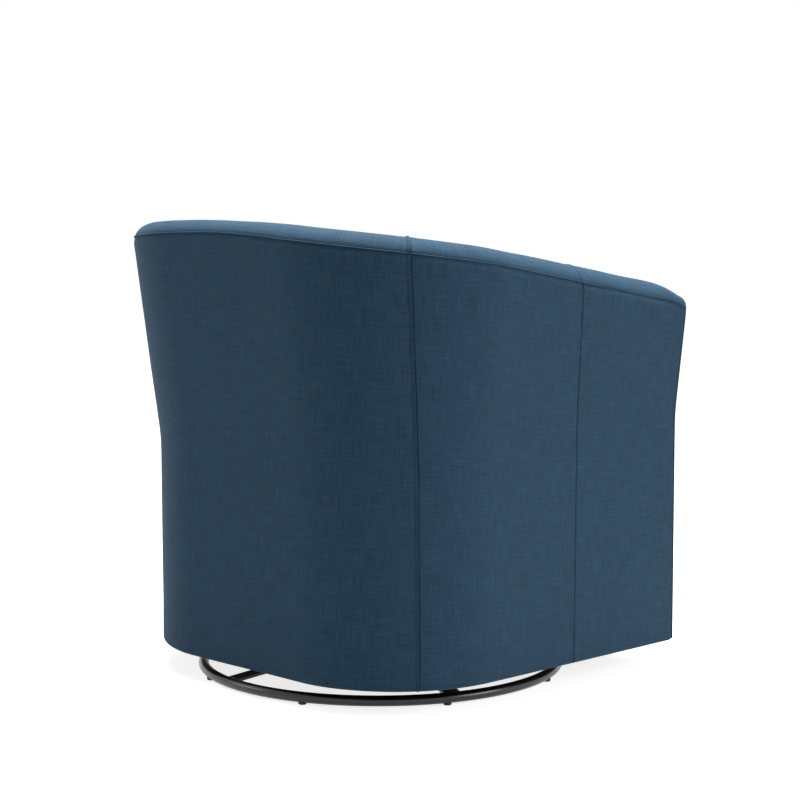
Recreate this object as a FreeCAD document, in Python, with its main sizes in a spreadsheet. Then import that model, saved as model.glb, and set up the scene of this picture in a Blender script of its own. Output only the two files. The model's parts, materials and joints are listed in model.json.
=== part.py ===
import FreeCAD, Part
import math
import os
import re
import Sketcher

# Swivel barrel chair, in millimetres: the sitter faces -Y, +X is the sitter's left, +Z is up,
# and the origin is where the swivel axis meets the floor.

V = FreeCAD.Vector
doc = FreeCAD.newDocument("SwivelBarrelChair")
sheet = doc.addObject("Spreadsheet::Sheet", "Sizes")

driving = [
    # the tub: its outline at the skirt, and how its wall flares
    ("half_width", 312, "half the width over the outside arms at the skirt"),
    ("back_reach", 274, "axis to the outside back at the skirt"),
    ("front_reach", 317, "axis to the front edge of the outside arms"),
    ("corner_radius", 193, "rear corners of the tub in plan"),
    ("skirt_bottom", 37, "floor to the underside of the upholstery"),
    ("flare_angle", 7, "lean of the wall above its bend, in degrees"),
    ("bend_height_back", 342, "where the wall starts to lean, at the back"),
    ("bend_height_front", 387, "where the wall starts to lean, at the arm fronts"),
    ("bend_reach", 21, "tangent length of the soft bend"),
    ("welt_height", 670.3, "seam under the top roll at centre back"),
    ("corner_fall", 43.5, "fall of that seam from centre back to the end of the rear corners"),
    ("arm_slope", 10.6, "fall of that seam along the arms, in degrees"),
    ("front_drop", 6, "extra fall of the seam at the arm fronts"),
    ("front_drop_length", 45, "length over which it falls"),
    ("rear_seam_turn", 53, "rear seams: turn round the corner, in degrees"),
    ("side_seam_reach", 89, "axis to the side seams, towards the front"),
    # upholstery
    ("skin_thickness", 4, "cover with its wadding"),
    ("hem_radius", 8, "cover turned under the skirt"),
    ("hem_width", 34, "reach of the hem under the frame"),
    ("roll_width", 76, "width of the top roll"),
    ("roll_height_back", 15.7, "crown of the top roll over its seam, at centre back"),
    ("roll_height_front", 25.6, "crown of the top roll over its seam, along the arms"),
    ("roll_crest", 22, "crown of the roll behind its outer edge"),
    ("roll_nose_height", 12.8, "crown of the top roll where it ends"),
    ("wall_width", 88, "outside to inside face of the wall at the deck"),
    ("pad_thickness", 35, "padding on the inside"),
    ("pad_crown", 9, "swell of the inside padding"),
    ("front_cover", 5, "padded cover on the arm fronts"),
    ("apron_setback", 4, "apron behind the edge of the arms"),
    ("soft_gap", 0.3, "between soft pieces and their neighbours"),
    ("frame_gap", 0.5, "between the frame and the upholstery"),
    # seat
    ("deck_height", 268, "top of the seat rib"),
    ("webbing_width", 50, "one strap of webbing"),
    ("webbing_thickness", 1.8, "one strap of webbing"),
    ("deck_thickness", 12, "felt pad on the webbing"),
    ("cushion_edge", 112, "height of the seat cushion at its edge"),
    ("cushion_crown", 24, "rise of the cushion over its edge"),
    ("cushion_swell", 3, "swell of the cushion's sides"),
    ("cushion_shoulder", 7, "rounding over and under the cushion's sides"),
    ("cushion_front_radius", 42, "front corners of the cushion in plan"),
    # wooden frame
    ("rib_thickness", 18, "plywood ribs and boards"),
    ("bottom_rib_width", 46, "bottom rib"),
    ("post_width", 40, "posts between the ribs"),
    ("rail_thickness", 22, "solid wood rails"),
    ("rail_height", 108, "front rail"),
    ("block_leg", 55, "corner blocks"),
    ("swivel_rail_width", 60, "rails over the swivel plate"),
    # swivel
    ("plate_half", 80, "half the side of the upper plate"),
    ("plate_corner", 12, "corner radius of the upper plate"),
    ("plate_thickness", 3, "pressed swivel plates"),
    ("lower_plate_radius", 84, "round lower plate"),
    ("dish_outer", 70, "foot of the pressed dish"),
    ("dish_inner", 64, "edge of the raised face of the dish"),
    ("bearing_radius", 55, "middle of the bearing ring"),
    ("bearing_width", 10, "bearing ring"),
    ("bearing_height", 5, "bearing ring"),
    ("bearing_gap", 0.05, "running clearance of the bearing ring"),
    ("groove_depth", 1, "groove pressed for the ring"),
    ("king_bolt_radius", 6, "bolt on the swivel axis"),
    ("king_head_radius", 12, "its round head"),
    ("king_head_height", 3, "its round head"),
    ("king_nut_width", 18, "its nut, across the flats"),
    ("king_nut_height", 8, "its nut"),
    ("king_washer_radius", 14, "its washer"),
    ("king_washer_height", 2, "its washer"),
    ("running_gap", 0.05, "bolt in the turning plate"),
    ("bolt_radius", 4, "plate bolts"),
    ("bolt_head_width", 13, "plate bolts, across the flats"),
    ("bolt_head_height", 5, "plate bolts"),
    ("bolt_hole_gap", 0.25, "plate bolts in their holes"),
    ("bolt_inset", 15, "plate bolts from the plate's edge"),
    ("tee_nut_radius", 10, "flange of the nuts on the rails"),
    ("tee_nut_height", 1.6, "flange of the nuts on the rails"),
    # ring base
    ("ring_radius", 270, "middle of the ring's tube"),
    ("tube_radius", 7.8, "ring's tube"),
    ("tube_height", 10.2, "floor to the middle of the tube"),
    ("spoke_width", 25.4, "flat spokes"),
    ("spoke_thickness", 4, "flat spokes"),
    ("spoke_top", 35, "floor to the top of the spokes at the hub"),
    ("spoke_start", 34, "inner end of the spokes"),
    ("spoke_bend", 92, "where the spokes start to slope"),
    ("spoke_turn", -10.5, "first spoke, from the rear towards the right"),
    ("spoke_spread", 80.5, "between a pair of spokes"),
    ("glide_radius", 6.2, "floor glides"),
    ("glide_foot", 1.2, "chamfer round their feet"),
    ("glide_height", 8, "floor glides, up into the saddle"),
    ("glide_turn", 22, "first glide, from the rear"),
    ("dust_cover", 0.8, "cloth under the seat"),
    ("dust_margin", 14, "its edge inside the skirt"),
    ("dust_hole", 104, "its round opening at the swivel"),
]
for row, (alias, value, note) in enumerate(driving, 1):
    sheet.set("A%d" % row, note)
    sheet.set("B%d" % row, str(value))
    sheet.setAlias("B%d" % row, alias)
doc.recompute()

GLIDES = 8
CORNER_STEP = math.radians(26)
NEAR = math.cos(math.pi / 4)
SHORTEST = 0.5
TOUCH = 0.01


def bound(text):
    """The expression with every size name read from the sheet."""
    return re.sub(r"[a-z]+(?:_[a-z]+)+", lambda name: "Sizes." + name.group(), text)


def value(text):
    """The number that an expression of size names gives."""
    number = sheet.evalExpression(bound(str(text)))
    return float(getattr(number, "Value", number))


def bind(item, **sizes):
    """Tie properties of an object to the sheet; a double underscore stands for a dot."""
    for name, text in sizes.items():
        item.setExpression(name.replace("__", "."), bound(text))
    return item


def primitive(kind, name, **sizes):
    """A Part primitive with its sizes and place tied to the sheet."""
    return bind(doc.addObject("Part::" + kind, name), **sizes)


def box(name, low, high):
    """A block between two corners, each given as three expressions."""
    lengths = ["(%s) - (%s)" % (b, a) for a, b in zip(low, high)]
    return primitive("Box", name, Length=lengths[0], Width=lengths[1], Height=lengths[2],
                     Placement__Base__x=low[0], Placement__Base__y=low[1], Placement__Base__z=low[2])


def cylinder(name, radius, low, high, x="0", y="0"):
    """An upright cylinder between two heights."""
    return primitive("Cylinder", name, Radius=radius, Height="(%s) - (%s)" % (high, low),
                     Placement__Base__x=x, Placement__Base__y=y, Placement__Base__z=low)


def hexagon(name, flats, low, high, x="0", y="0"):
    """An upright hexagonal prism between two heights."""
    return primitive("Prism", name, Circumradius="(%s) / 2 / cos(30 deg)" % flats,
                     Height="(%s) - (%s)" % (high, low),
                     Placement__Base__x=x, Placement__Base__y=y, Placement__Base__z=low)


def cut(name, base, tool):
    """Base less tool."""
    result = doc.addObject("Part::Cut", name)
    result.Base = base
    result.Tool = tool
    return result


def group(name, kind, members):
    """Several objects as one: a MultiFuse, or a Compound of separate solids."""
    result = doc.addObject("Part::" + kind, name)
    setattr(result, "Shapes" if kind == "MultiFuse" else "Links", members)
    return result


def formed(name, shape):
    """A sub-part whose lofted shape is made from sizes read from the sheet."""
    result = doc.addObject("Part::Feature", name)
    result.Shape = shape
    result.Placement = FreeCAD.Placement()
    return result


def sketchOn(body, name, role, corners, lift="0"):
    """A closed outline on an origin plane of the body, at a height above it.

    Each corner is (x, y, radius): expressions for its place, and the radius of the arc from there
    to the next corner, or None for a line. A minus before the radius turns the arc clockwise.
    """
    sketch = body.newObject("Sketcher::SketchObject", name)
    plane = next(item for item in body.Origin.OriginFeatures if item.Role == role)
    sketch.AttachmentSupport = [(plane, "")]
    sketch.MapMode = "FlatFace"
    bind(sketch, AttachmentOffset__Base__z=lift)
    spots = [V(value(x), value(y), 0) for x, y, radius in corners]
    ends = []
    for number, (x, y, radius) in enumerate(corners):
        here, there = spots[number], spots[(number + 1) % len(spots)]
        if radius is None:
            sketch.addGeometry(Part.LineSegment(here, there), False)
            ends.append((1, 2))
            continue
        clockwise = radius.startswith("-")
        size = value(radius.lstrip("-"))
        half = (there - here) * 0.5
        side = V(-half.y, half.x, 0).normalize() * math.sqrt(max(size ** 2 - half.Length ** 2, 0))
        centre = here + half + (side * -1 if clockwise else side)
        first, last = (there, here) if clockwise else (here, there)
        angles = [math.atan2(spot.y - centre.y, spot.x - centre.x) for spot in (first, last)]
        circle = Part.Circle(centre, V(0, 0, 1), size)
        sketch.addGeometry(Part.ArcOfCircle(circle, *angles), False)
        ends.append((2, 1) if clockwise else (1, 2))
        place = sketch.addConstraint(Sketcher.Constraint("Radius", number, size))
        sketch.setExpression("Constraints[%d]" % place, bound(radius.lstrip("-")))
    for number, (x, y, radius) in enumerate(corners):
        following = (number + 1) % len(corners)
        sketch.addConstraint(Sketcher.Constraint(
            "Coincident", number, ends[number][1], following, ends[following][0]))
        for kind, text, axis in (("DistanceX", x, -2), ("DistanceY", y, -1)):
            if value(text) == 0:
                sketch.addConstraint(Sketcher.Constraint(
                    "PointOnObject", number, ends[number][0], axis))
                continue
            place = sketch.addConstraint(Sketcher.Constraint(
                kind, number, ends[number][0], value(text)))
            sketch.setExpression("Constraints[%d]" % place, bound(text))
    return sketch


def circleOn(body, name, role, radius, x="0", y="0", lift="0"):
    """A circle on an origin plane of the body."""
    sketch = body.newObject("Sketcher::SketchObject", name)
    plane = next(item for item in body.Origin.OriginFeatures if item.Role == role)
    sketch.AttachmentSupport = [(plane, "")]
    sketch.MapMode = "FlatFace"
    bind(sketch, AttachmentOffset__Base__z=lift)
    sketch.addGeometry(Part.Circle(V(value(x), value(y), 0), V(0, 0, 1), value(radius)), False)
    place = sketch.addConstraint(Sketcher.Constraint("Radius", 0, value(radius)))
    sketch.setExpression("Constraints[%d]" % place, bound(radius))
    for kind, text, axis in (("DistanceX", x, -2), ("DistanceY", y, -1)):
        if value(text) == 0:
            sketch.addConstraint(Sketcher.Constraint("PointOnObject", 0, 3, axis))
            continue
        place = sketch.addConstraint(Sketcher.Constraint(kind, 0, 3, value(text)))
        sketch.setExpression("Constraints[%d]" % place, bound(text))
    return sketch


def newBody(name):
    """An empty body."""
    return doc.addObject("PartDesign::Body", name)


def pad(body, name, sketch, length):
    """The sketch pushed out along its normal."""
    feature = body.newObject("PartDesign::Pad", name)
    feature.Profile = sketch
    bind(feature, Length=length)
    return feature


def through(body, name, sketch):
    """The sketch cut right through the body, both ways."""
    before = body.Shape.Volume
    feature = body.newObject("PartDesign::Pocket", name)
    feature.Profile = sketch
    feature.Type = "ThroughAll"
    feature.Midplane = True
    doc.recompute()
    if body.Shape.Volume >= before:
        raise ValueError(name + " cuts nothing")
    return feature


def revolve(body, name, sketch):
    """The sketch turned once round the body's Z axis."""
    feature = body.newObject("PartDesign::Revolution", name)
    feature.Profile = sketch
    axis = next(item for item in body.Origin.OriginFeatures if item.Role == "Z_Axis")
    feature.ReferenceAxis = (axis, [""])
    feature.Angle = 360
    return feature


# The path round the tub: distances run along the skirt from centre back to the sitter's right,
# and a negative distance is the same place on the left.

def size(name):
    """One number from the sheet."""
    return float(sheet.get(name))


corner_start = size("half_width") - size("corner_radius")
corner_end = corner_start + size("corner_radius") * math.pi / 2
path_end = corner_end + size("back_reach") - size("corner_radius") + size("front_reach")
rear_seam = corner_start + size("corner_radius") * math.radians(size("rear_seam_turn"))
side_seam = path_end - size("front_reach") + size("side_seam_reach")
drop_start = path_end - size("front_drop_length")
flare = math.tan(math.radians(size("flare_angle")))


def station(distance):
    """The point of the skirt's outline at a distance, and its outward normal."""
    along = abs(distance)
    side = -1 if distance > 0 else 1
    if along <= corner_start:
        return V(side * along, size("back_reach"), 0), V(0, 1, 0)
    if along >= corner_end:
        y = size("back_reach") - size("corner_radius") - (along - corner_end)
        return V(side * size("half_width"), y, 0), V(side, 0, 0)
    turn = (along - corner_start) / size("corner_radius")
    normal = V(side * math.sin(turn), math.cos(turn), 0)
    centre = V(side * corner_start, size("back_reach") - size("corner_radius"), 0)
    return centre + normal * size("corner_radius"), normal


def bendHeight(distance):
    """Where the wall bends outwards: level across the back, rising round the corners and arms."""
    share = max(abs(distance) - corner_start, 0) / (path_end - corner_start)
    return size("bend_height_back") + share * (size("bend_height_front") - size("bend_height_back"))


def lean(distance, height):
    """How far the wall's outer face stands out from the skirt at a height."""
    return flare * max(height - bendHeight(distance), 0)


def weltHeight(distance):
    """The seam under the roll: it arches over the back and corners, then falls along the arms."""
    along = abs(distance)
    slope = math.tan(math.radians(size("arm_slope")))
    if along <= corner_end:
        power = slope * corner_end / size("corner_fall")
        return size("welt_height") - size("corner_fall") * (along / corner_end) ** power
    height = size("welt_height") - size("corner_fall") - slope * (along - corner_end)
    share = max(along - drop_start, 0) / size("front_drop_length")
    return height - size("front_drop") * share ** 2


def sectionWire(distance, profile):
    """A profile of lines and three-point arcs, in the upright plane across the wall."""
    point, normal = station(distance)
    edges = []
    for spots in profile:
        placed = [point + normal * out + V(0, 0, height) for out, height in spots]
        edge = Part.LineSegment(*placed) if len(placed) == 2 else Part.Arc(*placed)
        edges.append(edge.toShape())
    return Part.Wire(edges)


def closed(corners):
    """A profile of straight lines through the corners."""
    return [(corners[n], corners[(n + 1) % len(corners)]) for n in range(len(corners))]


def wall(profile, start, end):
    """A length of the wall: profile(distance) carried along the path from start to end."""
    turns = [corner_start, rear_seam, corner_end, drop_start, path_end]
    breaks = [-turn for turn in reversed(turns)] + [0] + turns
    marks = [start] + [mark for mark in breaks if start + SHORTEST < mark < end - SHORTEST] + [end]
    spans = []
    for low, high in zip(marks, marks[1:]):
        middle = abs(low + high) / 2
        straight = corner_end < middle < drop_start
        steps = 1 if straight else max(2, math.ceil((high - low) / size("corner_radius") / CORNER_STEP))
        wires = [sectionWire(mark, profile(mark))
                 for mark in [low + (high - low) * step / steps for step in range(steps + 1)]]
        spans.append(Part.makeLoft(wires, True, straight))
    solid = spans[0] if len(spans) == 1 else spans[0].fuse(spans[1:]).removeSplitter()
    if len(solid.Solids) == 1:
        solid = solid.Solids[0]
    return solid


def mirrored(shape):
    """The same piece on the other side of the chair."""
    return shape.mirror(V(0, 0, 0), V(1, 0, 0))


# Ring base

def baseRing():
    """The round tube that the chair stands on."""
    return primitive("Torus", "base_ring", Radius1="ring_radius", Radius2="tube_radius",
                     Placement__Base__z="tube_height")


def spoke(name, turn):
    """A flat bar, level under the hub, bent down to the ring and coped to its tube."""
    body = newBody(name + "_bar")
    fall = "(spoke_top - spoke_thickness / 2 - tube_height) / (ring_radius - spoke_bend)"
    foot = "(tube_height - spoke_thickness / 2)"
    profile = sketchOn(body, name + "_profile", "XZ_Plane", [
        ("spoke_start", "spoke_top - spoke_thickness", None),
        ("spoke_bend", "spoke_top - spoke_thickness", None),
        ("ring_radius - tube_radius / 2", foot + " + tube_radius / 2 * " + fall, None),
        ("ring_radius - tube_radius / 2", foot + " + spoke_thickness + tube_radius / 2 * " + fall, None),
        ("spoke_bend", "spoke_top", None),
        ("spoke_start", "spoke_top", None),
    ])
    bar = pad(body, name + "_pad", profile, "spoke_width")
    bar.Midplane = True
    doc.recompute()
    tube = primitive("Torus", name + "_cope", Radius1="ring_radius", Radius2="tube_radius",
                     Placement__Base__z="tube_height")
    coped = cut(name, body, tube)
    bind(coped, Placement__Rotation__Angle="90 + " + turn)
    return coped


def floorGlides():
    """Eight plastic glides pressed under the ring, each with a saddle that fits the tube."""
    glides = []
    for number in range(1, GLIDES + 1):
        angle = "(90 + glide_turn + %g)" % (number * 360 / GLIDES)
        x, y = ["ring_radius * %s(%s * 1 deg)" % (wave, angle) for wave in ("cos", "sin")]
        foot = primitive("Cone", "glide_foot_%d" % number, Radius1="glide_radius - glide_foot",
                         Radius2="glide_radius", Height="glide_foot",
                         Placement__Base__x=x, Placement__Base__y=y)
        stem = cylinder("glide_stem_%d" % number, "glide_radius", "glide_foot", "glide_height", x, y)
        glides.append(group("glide_%d" % number, "MultiFuse", [foot, stem]))
    tube = primitive("Torus", "glide_saddle", Radius1="ring_radius", Radius2="tube_radius",
                     Placement__Base__z="tube_height")
    return cut("floor_glides", group("glide_set", "Compound", glides), tube)


# Swivel: heights of the two pressed plates and what runs between them

plate_top = "(skirt_bottom + skin_thickness + rib_thickness)"
upper_flange = "(" + plate_top + " - plate_thickness)"
lower_flange = "(spoke_top + plate_thickness)"
race_gap = "(bearing_height + 2 * bearing_gap - 2 * groove_depth)"
dish_rise = "((" + upper_flange + " - " + lower_flange + " - " + race_gap + ") / 2)"
lower_face = "(" + lower_flange + " + " + dish_rise + ")"
upper_face = "(" + upper_flange + " - " + dish_rise + ")"


def dish(body, name, flange, face, sign, bore):
    """The pressed dish of a plate, with its groove, from its bore out to the flange."""
    sheet_out = " %s plate_thickness" % sign
    groove_in = "(bearing_radius - bearing_width / 2 - bearing_gap)"
    groove_out = "(bearing_radius + bearing_width / 2 + bearing_gap)"
    groove = "(%s %s groove_depth)" % (face, sign)
    step = "(plate_thickness * 0.6)"
    profile = sketchOn(body, name, "XZ_Plane", [
        (bore, face, None),
        (groove_in, face, None),
        (groove_in, groove, None),
        (groove_out, groove, None),
        (groove_out, face, None),
        ("dish_inner", face, None),
        ("dish_outer", flange, None),
        ("dish_outer + 4", flange, None),
        ("dish_outer + 4", flange + sheet_out, None),
        ("dish_outer - " + step, flange + sheet_out, None),
        ("dish_inner - " + step, face + sheet_out, None),
        (bore, face + sheet_out, None),
    ])
    return profile


def lowerPlate():
    """Round pressed plate welded on the spokes, dished up to the bearing."""
    body = newBody("swivel_lower_plate")
    profile = dish(body, "lower_profile", lower_flange, lower_face, "-", "king_bolt_radius")
    revolve(body, "lower_dish", profile)
    rim = [("dish_outer + 3", lower_flange, None), ("lower_plate_radius", lower_flange, None),
           ("lower_plate_radius", "spoke_top", None), ("dish_outer + 3", "spoke_top", None)]
    revolve(body, "lower_rim", sketchOn(body, "lower_rim_profile", "XZ_Plane", rim))
    return body


def upperPlate():
    """Square pressed plate bolted under the seat, dished down to the bearing."""
    body = newBody("swivel_upper_plate")
    half, corner = "plate_half", "plate_corner"
    spots = []
    for x, y in (("-", "-"), ("", "-"), ("", ""), ("-", "")):
        near = (x + half if x else half, y + "(plate_half - plate_corner)")
        far = (x + "(plate_half - plate_corner)", y + half if y else half)
        pair = [near, far] if (x == y) else [far, near]
        spots += [(pair[0][0], pair[0][1], corner), (pair[1][0], pair[1][1], None)]
    outline = sketchOn(body, "upper_outline", "XY_Plane", spots, upper_flange)
    pad(body, "upper_flange", outline, "plate_thickness")
    doc.recompute()
    through(body, "upper_opening", circleOn(body, "upper_opening_circle", "XY_Plane", "dish_outer + 3",
                                            lift=upper_flange))
    bore = "(king_bolt_radius + running_gap)"
    revolve(body, "upper_dish", dish(body, "upper_profile", upper_flange, upper_face, "+", bore))
    doc.recompute()
    hole = circleOn(body, "upper_hole_circle", "XY_Plane", "bolt_radius + bolt_hole_gap",
                    "plate_half - bolt_inset", "plate_half - bolt_inset", upper_flange)
    drilled = through(body, "upper_hole", hole)
    pattern = body.newObject("PartDesign::PolarPattern", "upper_holes")
    pattern.Originals = [drilled]
    pattern.Axis = (next(item for item in body.Origin.OriginFeatures if item.Role == "Z_Axis"), [""])
    pattern.Angle = 360
    pattern.Occurrences = 4
    body.Tip = pattern
    return body


def bearingRing():
    """The bearing ring that runs in the grooves of the two plates."""
    low = lower_face + " - groove_depth + bearing_gap"
    outer = cylinder("bearing_blank", "bearing_radius + bearing_width / 2", low, low + " + bearing_height")
    inner = cylinder("bearing_hole", "bearing_radius - bearing_width / 2",
                     low + " - 1", low + " + bearing_height + 1")
    return cut("bearing_ring", outer, inner)


def kingBolt():
    """The bolt on the swivel axis that holds the two plates together."""
    under = lower_face + " - plate_thickness"
    washer = upper_face + " + plate_thickness + bearing_gap"
    head = cylinder("king_head", "king_head_radius", under + " - king_head_height", under)
    end = washer + " + king_washer_height + king_nut_height + 2"
    shank = cylinder("king_shank", "king_bolt_radius", under + " - 1", end)
    return group("king_bolt", "MultiFuse", [head, shank])


def kingWasher():
    """The washer over the turning plate, with its running clearance."""
    low = upper_face + " + plate_thickness + bearing_gap"
    blank = cylinder("washer_blank", "king_washer_radius", low, low + " + king_washer_height")
    hole = cylinder("washer_hole", "king_bolt_radius", low + " - 1", low + " + king_washer_height + 1")
    return cut("king_washer", blank, hole)


def kingNut():
    """The lock nut on the king bolt."""
    low = upper_face + " + plate_thickness + bearing_gap + king_washer_height"
    blank = hexagon("nut_blank", "king_nut_width", low, low + " + king_nut_height")
    hole = cylinder("nut_hole", "king_bolt_radius", low + " - 1", low + " + king_nut_height + 1")
    return cut("king_nut", blank, hole)


def fourAbout(make):
    """make(number, x, y) at the four bolt places of the upper plate."""
    place = "(plate_half - bolt_inset)"
    spots = [(sx + place, sy + place) for sx in ("", "-") for sy in ("", "-")]
    return [make(number + 1, x, y) for number, (x, y) in enumerate(spots)]


rail_top = "(" + plate_top + " + rail_thickness)"


def plateBolts():
    """Four hexagon bolts up through the upper plate and its rails."""
    def one(number, x, y):
        head = hexagon("bolt_head_%d" % number, "bolt_head_width",
                       upper_flange + " - bolt_head_height", upper_flange, x, y)
        shank = cylinder("bolt_shank_%d" % number, "bolt_radius", upper_flange + " - 1",
                         rail_top + " + tee_nut_height + 2", x, y)
        return group("bolt_%d" % number, "MultiFuse", [head, shank])
    return group("plate_bolts", "Compound", fourAbout(one))


def teeNuts():
    """Four flanged nuts on top of the rails."""
    def one(number, x, y):
        blank = cylinder("tee_blank_%d" % number, "tee_nut_radius",
                         rail_top, rail_top + " + tee_nut_height", x, y)
        hole = cylinder("tee_hole_%d" % number, "bolt_radius", rail_top + " - 1",
                        rail_top + " + tee_nut_height + 1", x, y)
        return cut("tee_nut_%d" % number, blank, hole)
    return group("tee_nuts", "Compound", fourAbout(one))


def swivelRail(name, sign):
    """A rail across the seat frame, on the bottom rib, bored for two plate bolts."""
    middle = "%s(plate_half - bolt_inset)" % sign
    reach = "(half_width - skin_thickness - frame_gap - bottom_rib_width / 2)"
    plank = box(name + "_plank", ("-" + reach, middle + " - swivel_rail_width / 2", plate_top),
                (reach, middle + " + swivel_rail_width / 2", rail_top))
    holes = [cylinder("%s_hole_%d" % (name, number), "bolt_radius + bolt_hole_gap", plate_top + " - 1",
                      rail_top + " + 1", x, middle)
             for number, x in ((1, "(plate_half - bolt_inset)"), (2, "-(plate_half - bolt_inset)"))]
    return cut(name, plank, group(name + "_holes", "MultiFuse", holes))


# Wooden frame

def tubCorners(offset, front, back_to_front=False):
    """Half-open U of the tub at an offset inside the skirt's outline, left front to right front."""
    wide, deep = "(half_width - %s)" % offset, "(back_reach - %s)" % offset
    bend = "(corner_radius - %s)" % offset
    run = [
        (wide, "-" + front, None),
        (wide, deep + " - " + bend, bend),
        (wide + " - " + bend, deep, None),
        ("-(%s - %s)" % (wide, bend), deep, bend),
        ("-" + wide, deep + " - " + bend, None),
        ("-" + wide, "-" + front, None),
    ]
    if not back_to_front:
        return run
    run.reverse()
    radii = [None, "-" + bend, None, "-" + bend, None, None]
    return [(x, y, radius) for (x, y, old), radius in zip(run, radii)]


def rib(name, outer, inner, low, front):
    """A plywood rib: the tub's outline, a given width, open at the front."""
    body = newBody(name)
    corners = tubCorners(outer, front) + tubCorners(inner, front, True)
    pad(body, name + "_pad", sketchOn(body, name + "_outline", "XY_Plane", corners, low), "rib_thickness")
    return body


def bottomRib():
    """The rib round the bottom, its lower edge eased for the turned hem."""
    outer = "(skin_thickness + frame_gap)"
    body = rib("bottom_rib", outer, "(skin_thickness + frame_gap + bottom_rib_width)",
               "skirt_bottom + skin_thickness", "front_reach")
    doc.recompute()
    low = value("skirt_bottom + skin_thickness")
    rim = value("skin_thickness + frame_gap")
    names = []
    for number, edge in enumerate(body.Shape.Edges, 1):
        box_of = edge.BoundBox
        middle = edge.valueAt((edge.FirstParameter + edge.LastParameter) / 2)
        point = nearestOffset(middle)
        if box_of.ZMax < low + TOUCH and abs(point + rim) < TOUCH:
            names.append("Edge%d" % number)
    whole = body.Tip
    eased = body.newObject("PartDesign::Fillet", "bottom_rib_edge")
    eased.Base = (whole, names)
    bind(eased, Radius="hem_radius - skin_thickness")
    body.Tip = eased
    return body


def nearestOffset(point):
    """How far a point lies outside the skirt's outline in plan, negative inside."""
    x, y = abs(point.x), point.y
    cx, cy = corner_start, size("back_reach") - size("corner_radius")
    if x > cx and y > cy:
        return math.hypot(x - cx, y - cy) - size("corner_radius")
    if y > cy:
        return y - size("back_reach")
    return x - size("half_width") if x > cx else -1e9


deck_top = "(deck_height + 2 * webbing_thickness + deck_thickness + 3 * soft_gap)"


def frameOut(distance, height):
    """The frame's outer face at a height."""
    return lean(distance, height) - size("skin_thickness") - size("frame_gap")


def padBack(distance, height):
    """The back of the inside padding at a height."""
    deck = value(deck_top)
    top = weltHeight(distance)
    low = -size("wall_width") + size("pad_thickness")
    high = lean(distance, top) - size("roll_width") + size("pad_thickness")
    return low + (high - low) * (height - deck) / (top - deck)


def topRail(distance):
    """The rail under the roll: it follows the seam, between the outside cover and the padding."""
    top = weltHeight(distance) - size("soft_gap")
    low = top - size("rib_thickness")
    return closed([(frameOut(distance, low), low), (frameOut(distance, top), top),
                   (padBack(distance, top) + size("frame_gap"), top),
                   (padBack(distance, low) + size("frame_gap"), low)])


def upright(distance, low):
    """A board from a height up to the top rail, leaning with the wall, with room for the padding."""
    bend, deck = bendHeight(distance), value(deck_top)
    high = weltHeight(distance) - size("soft_gap") - size("rib_thickness")
    return closed([(frameOut(distance, low), low), (frameOut(distance, bend), bend),
                   (frameOut(distance, high), high),
                   (padBack(distance, high) + size("frame_gap"), high),
                   (padBack(distance, deck) + size("frame_gap"), deck),
                   (padBack(distance, deck) + size("frame_gap"), low)])


def upperPost(distance, width):
    """A post from the seat rib to the top rail."""
    return wall(lambda mark: upright(mark, size("deck_height")), distance - width / 2, distance + width / 2)


def lowerPost(distance, width):
    """A post from the bottom rib to the seat rib."""
    low = value("skirt_bottom + skin_thickness + rib_thickness")
    high = value("deck_height - rib_thickness")
    inner = -size("skin_thickness") - size("frame_gap") - size("bottom_rib_width")
    def profile(mark):
        return closed([(frameOut(mark, low), low), (frameOut(mark, low), high), (inner, high), (inner, low)])
    return wall(profile, distance - width / 2, distance + width / 2)


def armFrontBoard():
    """The board that closes the front of an arm, from the bottom rib to the top rail."""
    low = value("skirt_bottom + skin_thickness + rib_thickness")
    start = path_end - size("rib_thickness") - size("soft_gap")
    return wall(lambda mark: upright(mark, low), start, path_end - size("soft_gap"))


def posts(make):
    """Posts beside centre back, on the rear seams and along the arms, on both sides."""
    width = size("post_width")
    beside_axis = corner_end + size("back_reach") - size("corner_radius")
    places = [corner_start - width, rear_seam, beside_axis, side_seam + width]
    return Part.makeCompound([make(sign * place, width) for place in places for sign in (1, -1)])


board_inner = "(half_width - wall_width + pad_thickness - frame_gap)"
rail_front = "(front_reach - apron_setback - front_cover - soft_gap)"


def frontRail():
    """The rail across the front of the seat, between the arm boards."""
    return box("front_rail", ("-" + board_inner, "-" + rail_front, "deck_height - rail_height"),
               (board_inner, "-(" + rail_front + " - rail_thickness)", "deck_height"))


def bottomFrontRail():
    """The flat rail that joins the ends of the bottom rib."""
    inner = "(half_width - skin_thickness - frame_gap - bottom_rib_width)"
    return box("bottom_front_rail",
               ("-" + inner, "-" + rail_front, "skirt_bottom + skin_thickness"),
               (inner, "-(" + rail_front + " - bottom_rib_width)", plate_top))


def cornerBlocks():
    """Two glue blocks in the corners between the front rail and the lower frame."""
    blocks = []
    back = "(" + rail_front + " - rail_thickness)"
    for number, sign in ((1, ""), (2, "-")):
        body = newBody("corner_block_%d" % number)
        outline = [(sign + board_inner, "-" + back, None),
                   (sign + "(" + board_inner + " - block_leg)", "-" + back, None),
                   (sign + board_inner, "-(" + back + " - block_leg)", None)]
        pad(body, "corner_block_pad_%d" % number,
            sketchOn(body, "corner_block_outline_%d" % number, "XY_Plane", outline,
                     "deck_height - rib_thickness - rail_thickness"), "rail_thickness")
        blocks.append(body)
    return group("corner_blocks", "Compound", blocks)


# Seat deck

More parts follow.
